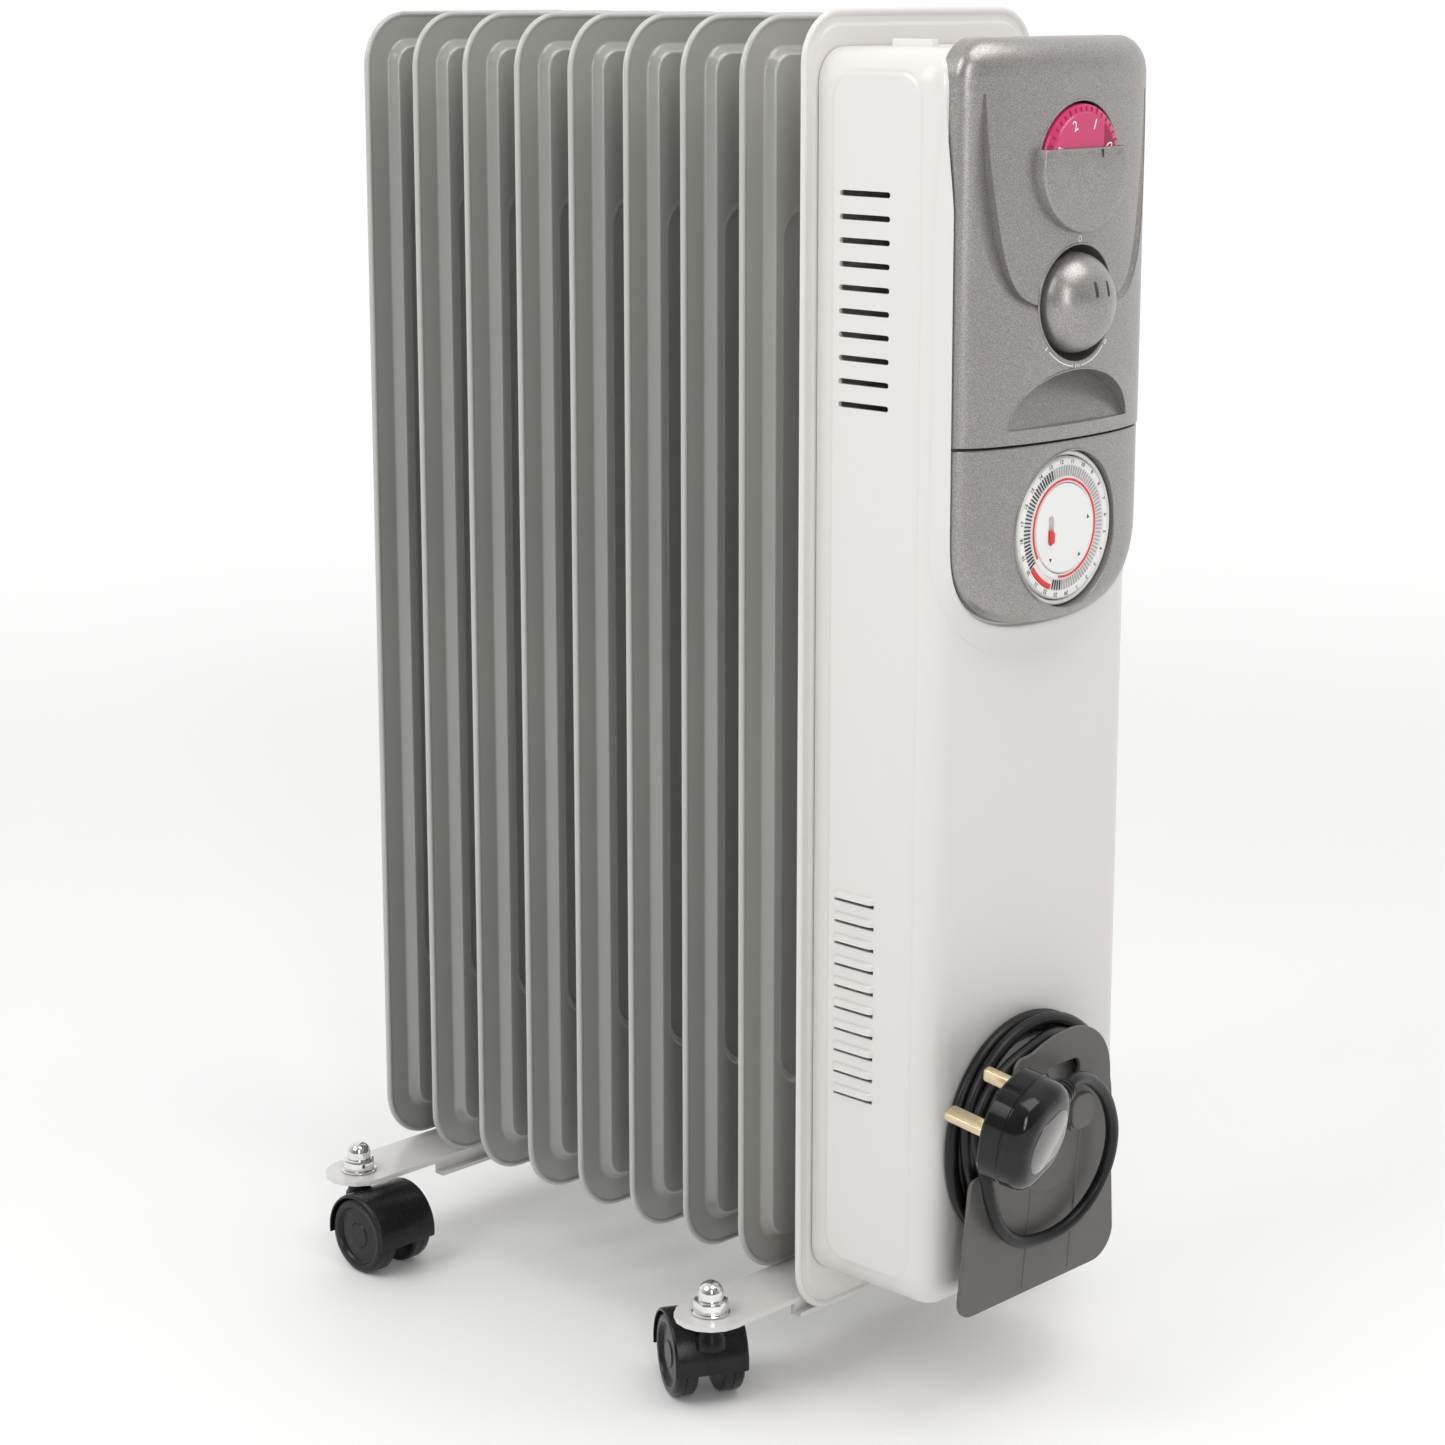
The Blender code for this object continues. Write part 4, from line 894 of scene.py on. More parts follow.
def louvre_hoods(bm, side):
    """Pressed hoods over the lower slits, open along their lower edge."""
    skin = side * (BOX_HALF + FIELD_RISE - 0.0002)
    for index in range(VENT_COUNT):
        z = LOUVRE_TOP - index * VENT_PITCH
        rings = []
        for k in range(17):
            t = k / 16
            swell = (1 - abs(2 * t - 1) ** 8) ** 0.5
            y = PLATE_Y - LOUVRE_FAR - 0.0008 + (LOUVRE_FAR - VENT_NEAR + 0.0016) * t
            ring = []
            for turn in (0, 18, 36, 54, 72, 90):
                angle = radians(turn)
                rise = LOUVRE_RISE * sin(angle) * swell
                drop = z + LOUVRE_HEIGHT * (0.62 - 0.72 * (1 - cos(angle)))
                ring.append((skin + side * rise, y, drop))
            ring.append((skin + side * max(LOUVRE_RISE * swell - 0.0004, 0.0), y, z - LOUVRE_HEIGHT * 0.12))
            rings.append(ring)
        loft(bm, rings, False, False, closed=False)


def build_box():
    bm = bmesh.new()
    rings = [box_ring(0.0, BOX_BACK), box_ring(0.0, BOX_FRONT + BOX_CORNER + 0.001)]
    for k in range(11):
        angle = radians(9 * k)
        rings.append(box_ring(BOX_CORNER * (1 - cos(angle)), BOX_FRONT + BOX_CORNER * (1 - sin(angle))))
    loft(bm, rings, first_cap=False)
    box = add_mesh("box_skin", bm, PAINTS["white_paint"])
    wall = box.modifiers.new("Sheet", "SOLIDIFY")
    wall.thickness = BOX_WALL
    wall.offset = -1.0
    for side in (-1, 1):
        outlines, xs = [], []
        for inset, rise in ((0.0, -0.0005), (0.0, 0.0), (0.0006, 0.0003), (0.0014, 0.0006), (0.0024, FIELD_RISE)):
            outlines.append(rounded_rect(
                PLATE_Y - FIELD_FAR + inset, PLATE_Y - FIELD_NEAR - inset, FIELD_BOTTOM + inset, FIELD_TOP - inset,
                0.012 - inset, 8,
            ))
            xs.append(side * (BOX_HALF + rise))
        boolean(box, side_prism(outlines, xs), "UNION")
    boolean(box, vent_comb(VENT_FAR, VENT_TOP, VENT_HEIGHT, False))
    boolean(box, vent_comb(LOUVRE_FAR, LOUVRE_TOP - 0.0013, SLIT_HEIGHT, True))
    bm = bmesh.new()
    bm.from_mesh(box.data)
    for side in (-1, 1):
        louvre_hoods(bm, side)
    bm.to_mesh(box.data)
    bm.free()
    smooth(box.data, 34)
    even_shading(box)
    settle(box, "white_paint", "control_box")


def lower_outline():
    """Half outline of the panel from its shoulder round to its lowest point, left side first."""
    drop = LOWER_SHOULDER - PANEL_BOTTOM
    left = []
    for k in range(25):
        turn = radians(90.0 * k / 24)
        left.append((-PANEL_HALF * cos(turn) ** 0.75, LOWER_SHOULDER - drop * sin(turn) ** 0.75))
    return left


def build_lip():
    """Pressed lip of the box that follows the panel's sides and round bottom."""
    left = []
    for k in range(6):
        left.append((-PANEL_HALF, LIP_TOP - LIP_FADE * k / 6))
    left += lower_outline()
    route = left + [(-x, z) for x, z in reversed(left[:-1])]
    rings = []
    for i, (x, z) in enumerate(route):
        ax, az = route[max(i - 1, 0)]
        bx, bz = route[min(i + 1, len(route) - 1)]
        run = hypot(bx - ax, bz - az)
        nx, nz = (bz - az) / run, (ax - bx) / run
        if nx * x + nz * (z - 0.48) < 0:
            nx, nz = -nx, -nz
        fade = ease((LIP_TOP - z) / LIP_FADE)
        wide = 0.0032 * (0.3 + 0.7 * fade) + 0.0105 * max(-nz, 0.0) ** 1.5
        ring = []
        for share, lift in ((1.0, 0.0), (0.72, 0.12), (0.45, 0.50), (0.25, 0.88), (0.14, 1.0), (0.07, 0.86)):
            px, pz = x + nx * (wide * share + LIP_GAP), z + nz * (wide * share + LIP_GAP)
            px = max(min(px, BOX_HALF - 0.0006), -BOX_HALF + 0.0006)
            base = box_surface(px, pz)
            crest = PANEL_BACK - 0.0016
            ring.append((px, base + (crest - base) * lift * fade - 0.0001 * fade, pz))
        inner_x, inner_z = x + nx * LIP_GAP, z + nz * LIP_GAP
        ring.append((inner_x, box_surface(inner_x, inner_z) + 0.0010, inner_z))
        rings.append(ring)
    bm = bmesh.new()
    loft(bm, rings, False, False, closed=False)
    new_piece("box_lip", bm, "white_paint", angle=60.0)


GRILLE_INSET = 0.016            # how much smaller the plate is than the flange it hides
GRILLE_FRONT = 0.012
GRILLE_DROP = 0.0024
GRILLE_ROWS = 3
GRILLE_COLUMNS = 10


def build_grille():
    low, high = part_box("top_grille")
    low = low + Vector((GRILLE_INSET, GRILLE_FRONT, 0.0))
    high = high - Vector((GRILLE_INSET, 0.0, GRILLE_DROP))
    bm = bmesh.new()
    rings = []
    for z, inset in ((high.z - 0.0037, 0.0), (high.z - 0.0006, 0.0), (high.z, 0.0006)):
        outline = rounded_rect(low.x + inset, high.x - inset, low.y + inset, high.y - inset, 0.006 - inset, 8)
        rings.append([(x, y, z) for x, y in outline])
    loft(bm, rings)
    grille = add_mesh("grille_plate", bm, PAINTS["white_plastic"])
    bm = bmesh.new()
    for row in range(GRILLE_ROWS):
        for column in range(GRILLE_COLUMNS):
            x = low.x + 0.010 + (high.x - low.x - 0.020) * column / (GRILLE_COLUMNS - 1)
            y = low.y + (high.y - low.y) * (row + 0.5) / GRILLE_ROWS
            outline = rounded_rect(x - 0.0016, x + 0.0016, y - 0.0060, y + 0.0060, 0.0015, 4)
            loft(bm, [[(u, v, z) for u, v in outline] for z in (high.z - 0.006, high.z + 0.004)])
    boolean(grille, cutter(bm))
    bm = bmesh.new()
    bm.from_mesh(grille.data)
    for x in (low.x + 0.006, high.x - 0.006):
        foot = Matrix.Translation((x, (low.y + high.y) / 2, BOX_TOP + 0.0014))
        block(bm, foot, (0.004, high.y - low.y - 0.012, 0.0036))
    bm.to_mesh(grille.data)
    bm.free()
    settle(grille, "white_plastic", "top_grille")


build_box()
build_lip()
build_grille()


# ---------------------------------------------------------------- control panel
def corner_drop(over, radius):
    """How far a rounded corner has fallen back at a distance past its start."""
    return 0.0 if over <= 0.0 else radius - sqrt(max(radius * radius - over * over, 0.0))


SEAM_EDGE = ((0.0008, 0.0), (0.0002, 0.0003), (0.0, 0.0009))    # inset and distance from the seam


def upper_levels():
    """Half width, rise and height up the upper panel."""
    seam = SEAM_Z + SEAM_WIDTH / 2
    out = [(PANEL_HALF - inset, PANEL_RISE - inset, seam + up) for inset, up in SEAM_EDGE]
    for k in range(13):
        z = PANEL_TOP - PANEL_CORNER * (1 - sin(radians(7.5 * k)))
        half = PANEL_HALF - corner_drop(z - PANEL_TOP + PANEL_CORNER, PANEL_CORNER)
        out.append((half, PANEL_RISE - corner_drop(z - PANEL_TOP + PANEL_ROUND, PANEL_ROUND), z))
    return out


def lower_levels():
    """The same up the timer panel."""
    drop = LOWER_SHOULDER - PANEL_BOTTOM
    out = []
    for k in range(21):
        turn = radians(86 - 86 * k / 20)
        z = LOWER_SHOULDER - drop * sin(turn) ** 0.75
        rise = LOWER_RISE - corner_drop(PANEL_BOTTOM + PANEL_ROUND - z, PANEL_ROUND)
        out.append((PANEL_HALF * cos(turn) ** 0.75, rise, z))
    seam = SEAM_Z - SEAM_WIDTH / 2
    return out + [(PANEL_HALF - inset, LOWER_RISE - inset, seam - down) for inset, down in reversed(SEAM_EDGE)]


def arch_y(x, rise=PANEL_RISE):
    """Y of a panel's arched front."""
    share = min(abs(x) / PANEL_HALF, 0.9999)
    return PANEL_BACK - rise * sqrt(1 - share * share)


def arch(name, levels):
    rings = []
    for half, rise, z in levels:
        turns = [pi * k / ARCH_STEPS for k in range(ARCH_STEPS + 1)]
        ring = [(-half * cos(turn), PANEL_BACK - rise * sin(turn), z) for turn in turns]
        rings.append([(-half, PANEL_BACK + PANEL_TAIL, z)] + ring + [(half, PANEL_BACK + PANEL_TAIL, z)])
    bm = bmesh.new()
    loft(bm, rings)
    outward(bm)
    return add_mesh(name, bm, PAINTS["panel_plastic"])


def round_cutter(z, radius, floor):
    return prism(arc(0, z, radius, 0, 355, 71), floor, PANEL_FRONT - THROUGH)


CREASE = (
    (-0.0560, 0.6150), (-0.0538, 0.5900), (-0.0508, 0.5700), (-0.0472, 0.5510), (-0.0430, 0.5375), (-0.0375, 0.5288),
    (-0.0305, 0.5245), (-0.0235, 0.5225),
)
CREASE_WIDTH = 0.0088
CREASE_DEPTH = 0.0046


def crease_cutter(side):
    """Wedge under the raised middle of the panel, deepest at its inner edge and thin at both ends."""
    route = smooth_path([(x, 0.0, z) for x, z in CREASE], 0.0030)
    rings = []
    for i, point in enumerate(route):
        ahead = route[min(i + 1, len(route) - 1)] - route[max(i - 1, 0)]
        out = Vector((ahead.z, 0, -ahead.x)).normalized()
        if out.x > 0:
            out = -out
        swell = sin(pi * (0.03 + 0.94 * i / (len(route) - 1))) ** 0.8
        outer = point + out * CREASE_WIDTH * swell
        front = PANEL_FRONT - 2 * THROUGH
        ring = [
            (point.x, front, point.z), (point.x, arch_y(point.x) + CREASE_DEPTH * swell, point.z),
            (outer.x, arch_y(outer.x) + 0.0002, outer.z), (outer.x, front, outer.z),
        ]
        rings.append([(-side * x, y, z) for x, y, z in ring])
    bm = bmesh.new()
    loft(bm, rings)
    return cutter(bm)


def grip_outline(steps):
    return [(x * GRIP_HALF, GRIP_BOTTOM + z * GRIP_RISE) for x, z in arc(0, 0, 1.0, 0, 180, steps)]


def grip_cutter():
    """Recess for the fingers, deepest under its arch."""
    outline = grip_outline(28)
    bm = bmesh.new()
    deep = [(x, PANEL_FRONT + 0.0056 + 0.0094 * (z - GRIP_BOTTOM) / GRIP_RISE, z) for x, z in outline]
    loft(bm, [deep, facing_front(outline, PANEL_FRONT - THROUGH)])
    return cutter(bm)


def rim_bead(bm, outline, rise, width):
    """Rounded rim along an outline on a panel's front."""
    sweep(bm, [(x, arch_y(x, rise), z) for x, z in outline], width, sides=8)


def build_panels():
    upper = arch("upper_cover", upper_levels())
    boolean(upper, round_cutter(DIAL_Z, WINDOW_RADIUS, BOX_FRONT - 0.0010))
    boolean(upper, round_cutter(KNOB_Z, KNOB_POCKET, BOX_FRONT - 0.0004))
    boolean(upper, grip_cutter())
    for side in (-1, 1):
        boolean(upper, crease_cutter(side))
    even_shading(upper)
    settle(upper, "panel_plastic", "upper_panel")
    lower = arch("timer_cover", lower_levels())
    boolean(lower, round_cutter(TIMER_Z, TIMER_RECESS, BOX_FRONT - 0.0006))
    even_shading(lower)
    settle(lower, "panel_plastic", "timer_panel")
    bm = bmesh.new()
    rim_bead(bm, arc(0, DIAL_Z, WINDOW_RADIUS, 12, 168, 72), PANEL_RISE, 0.00055)
    rim_bead(bm, arc(0, KNOB_Z, KNOB_POCKET, 0, 360, 72), PANEL_RISE, 0.00055)
    rim_bead(bm, arc(0, TIMER_Z, TIMER_RECESS, 0, 360, 72), LOWER_RISE, 0.00055)
    rim_bead(bm, grip_outline(40), PANEL_RISE, 0.0005)
    new_piece("panel_rims", bm, "panel_plastic")


def build_boss():
    """Half-round boss over the lower part of the dial."""
    turn = degrees(asin(CHORD_RISE / BOSS_RADIUS))
    outline = arc(0, DIAL_Z, BOSS_RADIUS, 180 - turn, 360 + turn, 60)
    outline += straight(*outline[-1], *outline[0], 24)[1:-1]
    middle_z = DIAL_Z - 0.010
    top = PANEL_FRONT - BOSS_RISE
    back = []
    for x, z in outline:
        on_chord = z > DIAL_Z + CHORD_RISE - 0.0001 and abs(x) < WINDOW_RADIUS - 0.0006
        back.append((x, top + BOSS_WALL if on_chord else PANEL_FRONT + 0.0080, z))
    rings = [back]
    for scale, rise in ((1.0, 0.0013), (0.994, 0.0008), (0.980, 0.0003), (0.955, 0.0), (0.80, -0.0003),
                        (0.55, -0.0005), (0.25, -0.0006)):
        rings.append([(x * scale, top + rise, middle_z + (z - middle_z) * scale) for x, z in outline])
    bm = bmesh.new()
    loft(bm, rings, first_cap=False)
    outward(bm)
    new_piece("dial_boss", bm, "panel_plastic", angle=50.0)


def stroke(bm, points, width, rise=PANEL_RISE):
    """A painted line on the upper panel's arch."""
    rings = []
    for i, (x, z) in enumerate(points):
        ax, az = points[max(i - 1, 0)]
        bx, bz = points[min(i + 1, len(points) - 1)]
        run = hypot(bx - ax, bz - az) or 1.0
        nx, nz = -(bz - az) / run, (bx - ax) / run
        ring = []
        for side in (-1, 1):
            px, pz = x + side * nx * width / 2, z + side * nz * width / 2
            ring.append((px, arch_y(px, rise) - 0.00012, pz))
        rings.append(ring)
    loft(bm, rings, False, False, closed=False)


MARK_RADIUS = 0.0280            # of the knob's setting marks


def build_marks():
    """The 0 above the knob, its three settings below, and the index line of the dial."""
    bm = bmesh.new()
    stroke(bm, [(0.0010 * x, KNOB_Z + 0.0281 + 0.0013 * z) for x, z in arc(0, 0, 1.0, 0, 360, 24)], 0.00050)
    for middle, bars in ((222.0, 1), (270.0, 3), (318.0, 2)):
        for bar in range(bars):
            turn = middle + (bar - (bars - 1) / 2) * 2.6
            (x0, z0), (x1, z1) = polar(MARK_RADIUS - 0.0008, turn), polar(MARK_RADIUS + 0.0012, turn)
            stroke(bm, straight(x0, KNOB_Z + z0, x1, KNOB_Z + z1), 0.00060)
    for start, end in ((227.0, 264.0), (276.0, 313.0)):
        stroke(bm, arc(0, KNOB_Z, MARK_RADIUS, start, end, 16), 0.00055)
    new_piece("panel_marks", bm, WHITE_INK)
    bm = bmesh.new()
    middle = Matrix.Translation((0.0098, PANEL_FRONT - BOSS_RISE - 0.0001, DIAL_Z + CHORD_RISE - 0.0026))
    block(bm, middle, (0.0007, 0.0009, 0.0036))
    new_piece("dial_index", bm, DARK_INK)


build_panels()
build_boss()
build_marks()


# ---------------------------------------------------------------- controls
DIAL_FIRST = 24.0               # place of the 0 seen from the front, in degrees
DIAL_STEP = 45.0
NUMBER_RADIUS = 0.0182
TICK_RADIUS = 0.0241
FACET_RADIUS = 0.0222


def build_dial():
    place = front_place(0, DIAL_FACE, DIAL_Z)
    bm = bmesh.new()
    profile = [(0.0, 0.0), (0.006, 0.0), (0.012, 0.0), (0.018, 0.0), (FACET_RADIUS, 0.0), (0.0228, -0.0006),
               (0.0252, -0.0010), (DIAL_RADIUS - 0.0004, -0.0014), (DIAL_RADIUS, -0.0022), (DIAL_RADIUS, -0.0160)]
    lathe(bm, profile, place, sides=96)
    new_piece("dial_disc", bm, "dial_plastic", "thermostat_dial", body="thermostat_dial")
    bm = bmesh.new()
    for number in range(7):
        turn = DIAL_FIRST + DIAL_STEP * number
        x, z = polar(NUMBER_RADIUS, turn)
        lettering(bm, str(number), 0.0066, front_place(x, DIAL_FACE - 0.0001, DIAL_Z + z, turn - 90))
    new_piece("dial_numbers", bm, WHITE_INK, body="thermostat_dial")
    bm = bmesh.new()
    for tick in range(31):
        turn = DIAL_FIRST + DIAL_STEP / 5 * tick
        x, z = polar(TICK_RADIUS, turn)
        long = 0.0030 if tick % 5 == 0 else 0.0020
        block(bm, front_place(x, DIAL_FACE + 0.0008, DIAL_Z + z, turn), (long, 0.00042, 0.0006))
    new_piece("dial_ticks", bm, DIAL_PRINT_AND_SHADE, body="thermostat_dial")
    # painted shade: a flat darker patch over the right side of the dial's face
    bm = bmesh.new()
    ring = [place @ Vector((x, z, 0.00012)) for x, z in arc(0, 0, FACET_RADIUS, -52, 52, 24)]
    bm.faces.new([bm.verts.new(p) for p in ring])
    new_piece("dial_facet_painted_shade", bm, DIAL_PRINT_AND_SHADE, body="thermostat_dial")


def build_knob():
    face = BOX_FRONT - 0.0012
    profile = [(0.0, KNOB_RIM + KNOB_DOME)]
    for k in range(1, 25):
        angle = radians(90 - 90 * k / 24)
        profile.append((KNOB_RADIUS * cos(angle), KNOB_RIM + KNOB_DOME * sin(angle)))
    profile += [(KNOB_RADIUS, 0.0)]
    bm = bmesh.new()
    lathe(bm, profile, front_place(0, face, KNOB_Z), sides=96)
    outward(bm)
    knob = add_mesh("knob_dome", bm, PAINTS["panel_plastic"])
    for x in (-0.0040, 0.0042):
        outline = stadium(x, KNOB_Z + 0.0032, KNOB_Z + 0.0104, 0.0010, 8)
        boolean(knob, prism(outline, face - KNOB_RIM - 0.0155, face - KNOB_RIM - 0.0300))
    even_shading(knob)
    settle(knob, "panel_plastic", "selector_knob", body="selector_knob")


TICK_TURN = 360.0 / 96          # a quarter of an hour
HOUR_18_TURN = 185.0            # place of hour 18 seen from the front, in degrees
TAB_RADIUS = 0.0260
HOUR_RADIUS = 0.0302
POINTER_RADIUS = 0.0168


def ring_piece(name, profile, finish, *nodes, body="heater", start=0.0, end=360.0, sides=96):
    """A closed profile turned about the timer's axis."""
    bm = bmesh.new()
    lathe(bm, profile + profile[:1], front_place(0, RING_BACK, TIMER_Z), sides, start, end, cap=False)
    return new_piece(name, bm, finish, *nodes, body=body, angle=30.0)


def build_timer():
    white, red = PAINTS["white_plastic"], PAINTS["red_plastic"]
    ring_piece(
        "timer_dial",
        [(0.0208, 0.0), (0.0208, 0.0049), (0.0211, 0.0052), (0.0232, 0.0052), (0.0236, 0.0045), (0.0284, 0.0045),
         (0.0288, 0.0052), (0.0316, 0.0051), (0.0323, 0.0044), (TIMER_RING, 0.0036), (TIMER_RING, 0.0)],
        "white_plastic", "timer_ring", body="timer_ring",
    )
    ring_piece(
        "timer_bezel",
        [(0.0331, 0.0010), (0.0331, 0.0036), (0.0335, 0.0042), (0.0345, 0.0043), (0.0352, 0.0036), (0.0357, 0.0010)],
        white,
    )
    ring_piece("timer_red_line", [(0.0216, 0.0051), (0.0216, 0.0055), (0.0226, 0.0055), (0.0226, 0.0051)], red,
               body="timer_ring", start=-100.0, end=212.0)
    ring_piece("timer_red_segment", [(0.0262, 0.0044), (0.0262, 0.0054), (0.0284, 0.0054), (0.0284, 0.0044)], red,
               body="timer_ring", start=216.0, end=250.0, sides=16)
    dark, pale = bmesh.new(), bmesh.new()
    for tick in range(96):
        turn = TICK_TURN * tick
        if 214.0 < turn < 252.0:
            continue
        x, z = polar(TAB_RADIUS, turn)
        middle = front_place(x, RING_BACK - 0.0046, TIMER_Z + z, turn)
        block(dark if 105.0 < turn < 270.0 else pale, middle, (0.0044, 0.00062, 0.0006))
    new_piece("timer_ticks", dark, DARK_INK, body="timer_ring")
    new_piece("timer_tabs", pale, GREY_INK, body="timer_ring")
    bm = bmesh.new()
    for hour in range(1, 25):
        turn = HOUR_18_TURN + 4 * TICK_TURN * (hour - 18)
        x, z = polar(HOUR_RADIUS, turn)
        lettering(bm, str(hour), 0.0027, front_place(x, TIMER_FACE - 0.00002, TIMER_Z + z, turn - 90))
    new_piece("timer_hours", bm, DARK_INK, body="timer_ring")

    bm = bmesh.new()
    rise = RING_BACK - DISC_FACE
    lathe(bm, [(0.0, rise), (TIMER_DISC - 0.0010, rise), (TIMER_DISC - 0.0003, rise - 0.0003),
               (TIMER_DISC, rise - 0.0010), (TIMER_DISC, 0.0)], front_place(0, RING_BACK, TIMER_Z), 96)
    outward(bm)
    disc = add_mesh("timer_centre", bm, white)
    outline = stadium(SLIDER_X, TIMER_Z - 0.0068, TIMER_Z + 0.0068, SLIDER_WIDTH / 2 + GAP, 10)
    boolean(disc, prism(outline, SLOT_FLOOR, DISC_FACE - 0.004))
    even_shading(disc)
    settle(disc, "white_plastic", "timer_disc")
    bm = bmesh.new()
    half, low = SLIDER_WIDTH / 2, TIMER_Z + SLIDER_REST
    loft(bm, [facing_front(rounded_rect(
        SLIDER_X - half + inset, SLIDER_X + half - inset, low + inset, low + SLIDER_HEIGHT - inset, 0.0014 - inset, 5
    ), SLOT_FLOOR - reach) for reach, inset in ((GAP, 0.0), (0.0036, 0.0), (0.0040, 0.0004))])
    outward(bm)
    new_piece("timer_slider", bm, "red_plastic", "timer_override", body="timer_override", angle=25.0)
    bm = bmesh.new()
    for turn, pointing in ((232.0, 142.0), (-52.0, 218.0), (12.0, 100.0)):
        x, z = polar(POINTER_RADIUS, turn)
        middle = front_place(x, DISC_FACE - 0.00008, TIMER_Z + z, pointing)
        corners = ((0.0013, 0, 0), (-0.0008, 0.0009, 0), (-0.0008, -0.0009, 0))
        bm.faces.new([bm.verts.new(middle @ Vector(corner)) for corner in corners])
    new_piece("timer_pointers", bm, DARK_INK)


build_dial()
build_knob()
build_timer()


# ---------------------------------------------------------------- cord store
def holder_front(z):
    return BOX_FRONT - HOLDER_STANDOFF - HOLDER_LEAN * (z - HOLDER_BOTTOM)


def holder_outline():
    """X-Z outline with its round top on the right and a notch at the upper left, anticlockwise."""
    left, right = HOLDER_X - 0.0570, HOLDER_X + 0.0570
    low, high = HOLDER_BOTTOM, HOLDER_TOP
    notch_low, notch_high, notch_x = 0.1300, 0.1760, HOLDER_X - 0.0325
    return (
        arc(left + 0.010, low + 0.010, 0.010, 180, 270, 10)
        + arc(right - 0.014, low + 0.014, 0.014, 270, 360, 12)
        + arc(HOLDER_X + 0.010, high - 0.0330, 0.0330, 12, 90, 24)
        + [(HOLDER_X - 0.002, high - 0.0008), (HOLDER_X - 0.010, high - 0.0028), (HOLDER_X - 0.0180, high - 0.0056)]
        + arc(HOLDER_X - 0.0245, high - 0.0120, 0.0060, 80, 180, 6)
        + arc(notch_x - 0.0030, notch_low + 0.0030, 0.0030, 0, -90, 5)
        + arc(left + 0.0060, notch_low - 0.0050, 0.0050, 90, 180, 5)
    )


def build_holder():
    outline = holder_outline()
    bm = bmesh.new()
    loft(bm, [[(x, holder_front(z) + thick, z) for x, z in outline] for thick in (HOLDER_THICK, 0.0)])
    outward(bm)
    holder = add_mesh("holder_plate", bm, PAINTS["holder_plastic"])
    hole = rounded_rect(-0.0180, 0.0080, HOLE_Z - 0.0060, HOLE_Z + 0.0060, 0.0050, 8)
    boolean(holder, prism(hole, holder_front(HOLE_Z) + 0.012, holder_front(HOLE_Z) - 0.02))
    soften(holder, 0.0006, 2, 50.0)
    settle(holder, "holder_plastic", "cord_holder")
    bm = bmesh.new()
    reach = BOX_FRONT - GAP - holder_front(STORE_Z) - HOLDER_THICK
    lathe(bm, [(HUB_RADIUS + 0.0030, 0.0), (HUB_RADIUS + 0.0030, 0.0012), (HUB_RADIUS, 0.0030),
               (HUB_RADIUS, reach - 0.0020), (HUB_RADIUS + 0.0020, reach + 0.0008)],
          front_place(STORE_X, BOX_FRONT - GAP, STORE_Z), 64)
    for x in (-0.0210, 0.0130):
        sweep(bm, [(x, holder_front(z) + 0.0003, z) for z in (0.0630, 0.0900, 0.1180, 0.1420)], 0.0007, sides=8)
    face = holder_front(TAB_Z)
    block(bm, Matrix.Translation((-0.0020, face - 0.0050, TAB_Z - 0.0004)), (0.0150, 0.0120, 0.0028))
    rings = []
    for reach, inset in ((0.0092, 0.0006), (0.0096, 0.0), (0.0120, 0.0), (0.0125, 0.0006)):
        tab = rounded_rect(-0.0100 + inset, 0.0060 - inset, TAB_Z - 0.0020 + inset, TAB_Z + 0.0150 - inset,
                           0.0060 - inset, 8)
        rings.append(facing_front(tab, face - reach))
    loft(bm, rings)
    outward(bm)
    new_piece("holder_details", bm, "holder_plastic", angle=30.0)


build_holder()


# ---------------------------------------------------------------- feet, nuts and casters
def cap_nut_mesh():
    """Washer, hexagon, dome and stem."""
    bm = bmesh.new()
    washer = [(0.0, 0.0003), (0.0086, 0.0003), (0.0092, 0.0005), (0.0092, 0.0010), (0.0088, 0.0013), (0.0, 0.0013)]
    lathe(bm, washer, sides=40)
    rings = []
    for z, flat, corner in ((0.0013, 0.0076, 0.0084), (0.0020, 0.0080, 0.0090), (0.0058, 0.0080, 0.0090),
                            (0.0068, 0.0076, 0.0080), (0.0072, 0.0068, 0.0068)):
        ring = []
        for k in range(24):
            turn = 2 * pi * k / 24
            swing = cos(turn * 6) * 0.5 + 0.5
            hexagon = flat / cos((turn + pi / 6) % (pi / 3) - pi / 6)
            radius = min(hexagon, flat + (corner - flat) * swing + 0.0006)
            ring.append((radius * cos(turn), radius * sin(turn), z))
        rings.append(ring)
    loft(bm, rings)
    lathe(bm, [(0.0062, 0.0070)] + arc(0, 0.0098, 0.0062, 0, 90, 10), sides=40)
    lathe(bm, [(0.0040, 0.0005), (0.0040, -0.0170), (0.0, -0.0170)], sides=24)
    outward(bm)
    return bm


def build_cap_nuts():
    for tag, (side, yaw) in CASTERS.items():
        nut = shared_piece("nut", "dome_nut_" + tag, cap_nut_mesh, "chrome", 25.0)
        nut.location = (side * CASTER_X, FOOT_Y[tag.split("_")[0]], FOOT_TOP)
        nut.rotation_euler.z = radians(17 + yaw)
        settle(nut, "chrome", "cap_nut_" + tag)


def hood_ring(x, outer):
    """Outline of the hood's sheet at one X, open round the floor side of the wheels."""
    cover = arc(-TRAIL, WHEEL_RADIUS, outer, -8, 188, 36)
    under = arc(-TRAIL, WHEEL_RADIUS, HOOD_RADIUS - 0.0016, 188, -8, 36)
    return [(x, y, z) for y, z in cover + under]


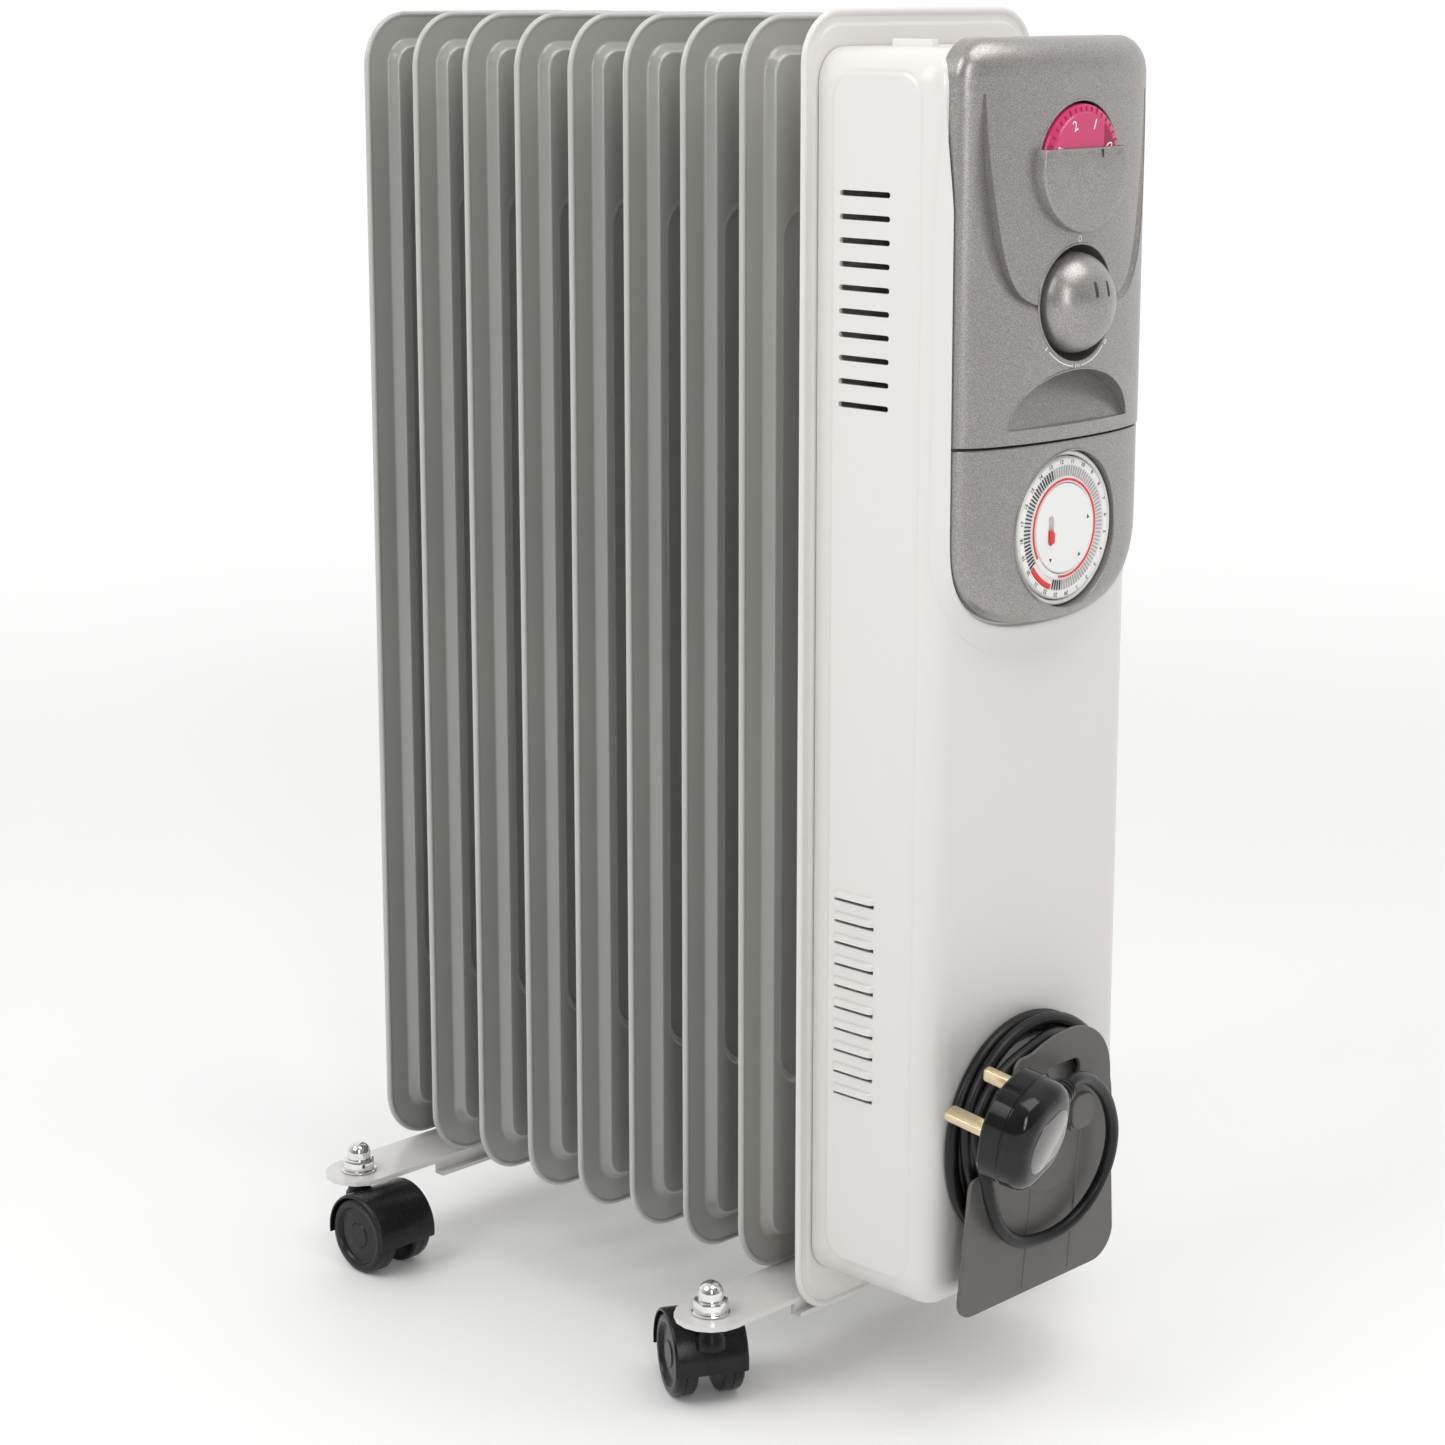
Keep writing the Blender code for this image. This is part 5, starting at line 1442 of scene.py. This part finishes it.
def hood_mesh():
    bm = bmesh.new()
    loft(bm, [hood_ring(x, HOOD_RADIUS - drop) for x, drop in (
        (-HOOD_HALF, 0.0009), (-HOOD_HALF + 0.0005, 0.0003), (-HOOD_HALF + 0.0014, 0.0), (HOOD_HALF - 0.0014, 0.0),
        (HOOD_HALF - 0.0005, 0.0003), (HOOD_HALF, 0.0009))])
    web = arc(-TRAIL, WHEEL_RADIUS, HOOD_RADIUS - 0.0008, -8, 188, 36)
    web += [(-TRAIL - 0.008, 0.010), (-TRAIL + 0.008, 0.010)]
    loft(bm, [[(x, y, z) for y, z in web] for x in (-0.0050, 0.0050)])
    stem_top = FOOT_TOP - FOOT_SHEET - 0.0006
    lathe(bm, [(0.0078, 0.0300), (0.0072, 0.0352), (0.0060, 0.0372), (0.0056, stem_top), (0.0043, stem_top)], sides=32)
    axle = Matrix.Translation((0, -TRAIL, WHEEL_RADIUS)) @ Matrix.Rotation(radians(90), 4, "Y")
    lathe(bm, [(0.0032, -0.0150), (0.0032, 0.0150)], axle, 20)
    outward(bm)
    return bm


def wheel_mesh():
    bm = bmesh.new()
    profile = [(0.0, 0.0046), (0.0062, 0.0046), (0.0068, 0.0040), (0.0140, 0.0036), (0.0148, 0.0042), (0.0154, 0.0053),
               (0.0170, 0.0056), (0.0186, 0.0053), (0.0196, 0.0044), (WHEEL_RADIUS, 0.0030), (WHEEL_RADIUS, 0.0004),
               (WHEEL_RADIUS - 0.0004, 0.0), (WHEEL_RADIUS, -0.0004), (WHEEL_RADIUS, -0.0044),
               (WHEEL_RADIUS - 0.0010, -0.0056), (0.0036, -0.0056)]
    lathe(bm, profile, sides=64)
    outward(bm)
    return bm


def build_casters():
    for tag, (side, yaw) in CASTERS.items():
        stem = Matrix.Translation((side * CASTER_X, FOOT_Y[tag.split("_")[0]], 0))
        stem = stem @ Matrix.Rotation(radians(yaw), 4, "Z")
        hood = shared_piece("hood", "hood_" + tag, hood_mesh, "caster_plastic", 32.0)
        hood.matrix_world = stem
        settle(hood, "caster_plastic", "caster_hood_" + tag, body="caster_" + tag)
        for end, word in ((-1, "a"), (1, "b")):
            wheel = shared_piece("wheel", "tyre_%s_%s" % (tag, word), wheel_mesh, "caster_plastic", 32.0)
            out = Matrix.Rotation(radians(90 * end), 4, "Y")
            wheel.matrix_world = stem @ Matrix.Translation((end * WHEEL_OFFSET, -TRAIL, WHEEL_RADIUS)) @ out
            node = "wheel_%s_%s" % (tag, word)
            settle(wheel, "caster_plastic", node, body=node)


build_cap_nuts()
build_casters()


# ---------------------------------------------------------------- CAD nodes that stay
for subpart in frame["record"]["subparts"]:
    node = NODES[subpart["node"]]
    node.data.materials.clear()
    node.data.materials.append(PAINTS[subpart["material_slot"]])
for name in ("foot_front", "foot_rear"):
    soften(NODES[name], 0.0007, 3, 40.0)
for tag in CASTERS:
    soften(NODES["wing_nut_" + tag], 0.0004, 2, 40.0)


# ---------------------------------------------------------------- floor and light
GLOW_DISTANCES = (0.7, 3.0)     # from the origin, over which the floor's glow grows
GLOW_LEVELS = (0.03, 0.34)
WORLD_ACROSS = (0.68, 0.68, 0.27)    # towards the bright side of the studio
WORLD_LEVELS = (0.24, 1.0)


def build_floor():
    bm = bmesh.new()
    bmesh.ops.create_grid(bm, x_segments=8, y_segments=8, size=60.0)
    paint = surface("pale_floor", (0.93, 0.93, 0.925), 0.6, tone=0.004, patch=3.0)
    shader = paint.node_tree.nodes["Principled BSDF"]
    shader.inputs["Emission Color"].default_value = (1.0, 1.0, 1.0, 1.0)
    tree = paint.node_tree
    away = tree.nodes.new("ShaderNodeVectorMath")
    away.operation = "LENGTH"
    tree.links.new(tree.nodes.new("ShaderNodeTexCoord").outputs["Object"], away.inputs[0])
    glow = map_range(tree, away.outputs["Value"], *GLOW_DISTANCES, *GLOW_LEVELS)
    glow.interpolation_type = "SMOOTHSTEP"
    tree.links.new(glow.outputs["Result"], shader.inputs["Emission Strength"])
    add_mesh("floor", bm, paint)


def area_light(name, place, target, size, power, colour=(1, 1, 1)):
    light = bpy.data.lights.new(name, "AREA")
    light.shape = "RECTANGLE"
    light.size, light.size_y = size
    light.energy = power
    light.color = colour
    made = put(name, light)
    made.location = place
    made.visible_camera = False
    made.rotation_euler = (Vector(target) - Vector(place)).to_track_quat("-Z", "Y").to_euler()


def build_world():
    """A pale studio, brighter behind the heater than in front of it."""
    world = bpy.data.worlds.new("studio")
    bpy.context.scene.world = world
    world.use_nodes = True
    tree = world.node_tree
    background = tree.nodes["Background"]
    background.inputs["Color"].default_value = (1.0, 1.0, 1.0, 1.0)
    across = tree.nodes.new("ShaderNodeVectorMath")
    across.operation = "DOT_PRODUCT"
    across.inputs[1].default_value = WORLD_ACROSS
    tree.links.new(tree.nodes.new("ShaderNodeTexCoord").outputs["Generated"], across.inputs[0])
    level = map_range(tree, across.outputs["Value"], -0.7, 0.7, *WORLD_LEVELS)
    tree.links.new(level.outputs["Result"], background.inputs["Strength"])


build_floor()
build_world()
area_light("key", (-1.35, 0.30, 1.55), (0, 0, 0.40), (1.1, 1.0), 11.0)
area_light("strip", (-1.30, -1.70, 1.15), (0, 0, 0.45), (0.30, 1.3), 9.0)
area_light("top", (0.05, -0.70, 1.75), (0, -0.05, 0.50), (1.1, 0.8), 9.0, (1.0, 0.98, 0.96))
bpy.context.scene.view_settings.view_transform = "Standard"
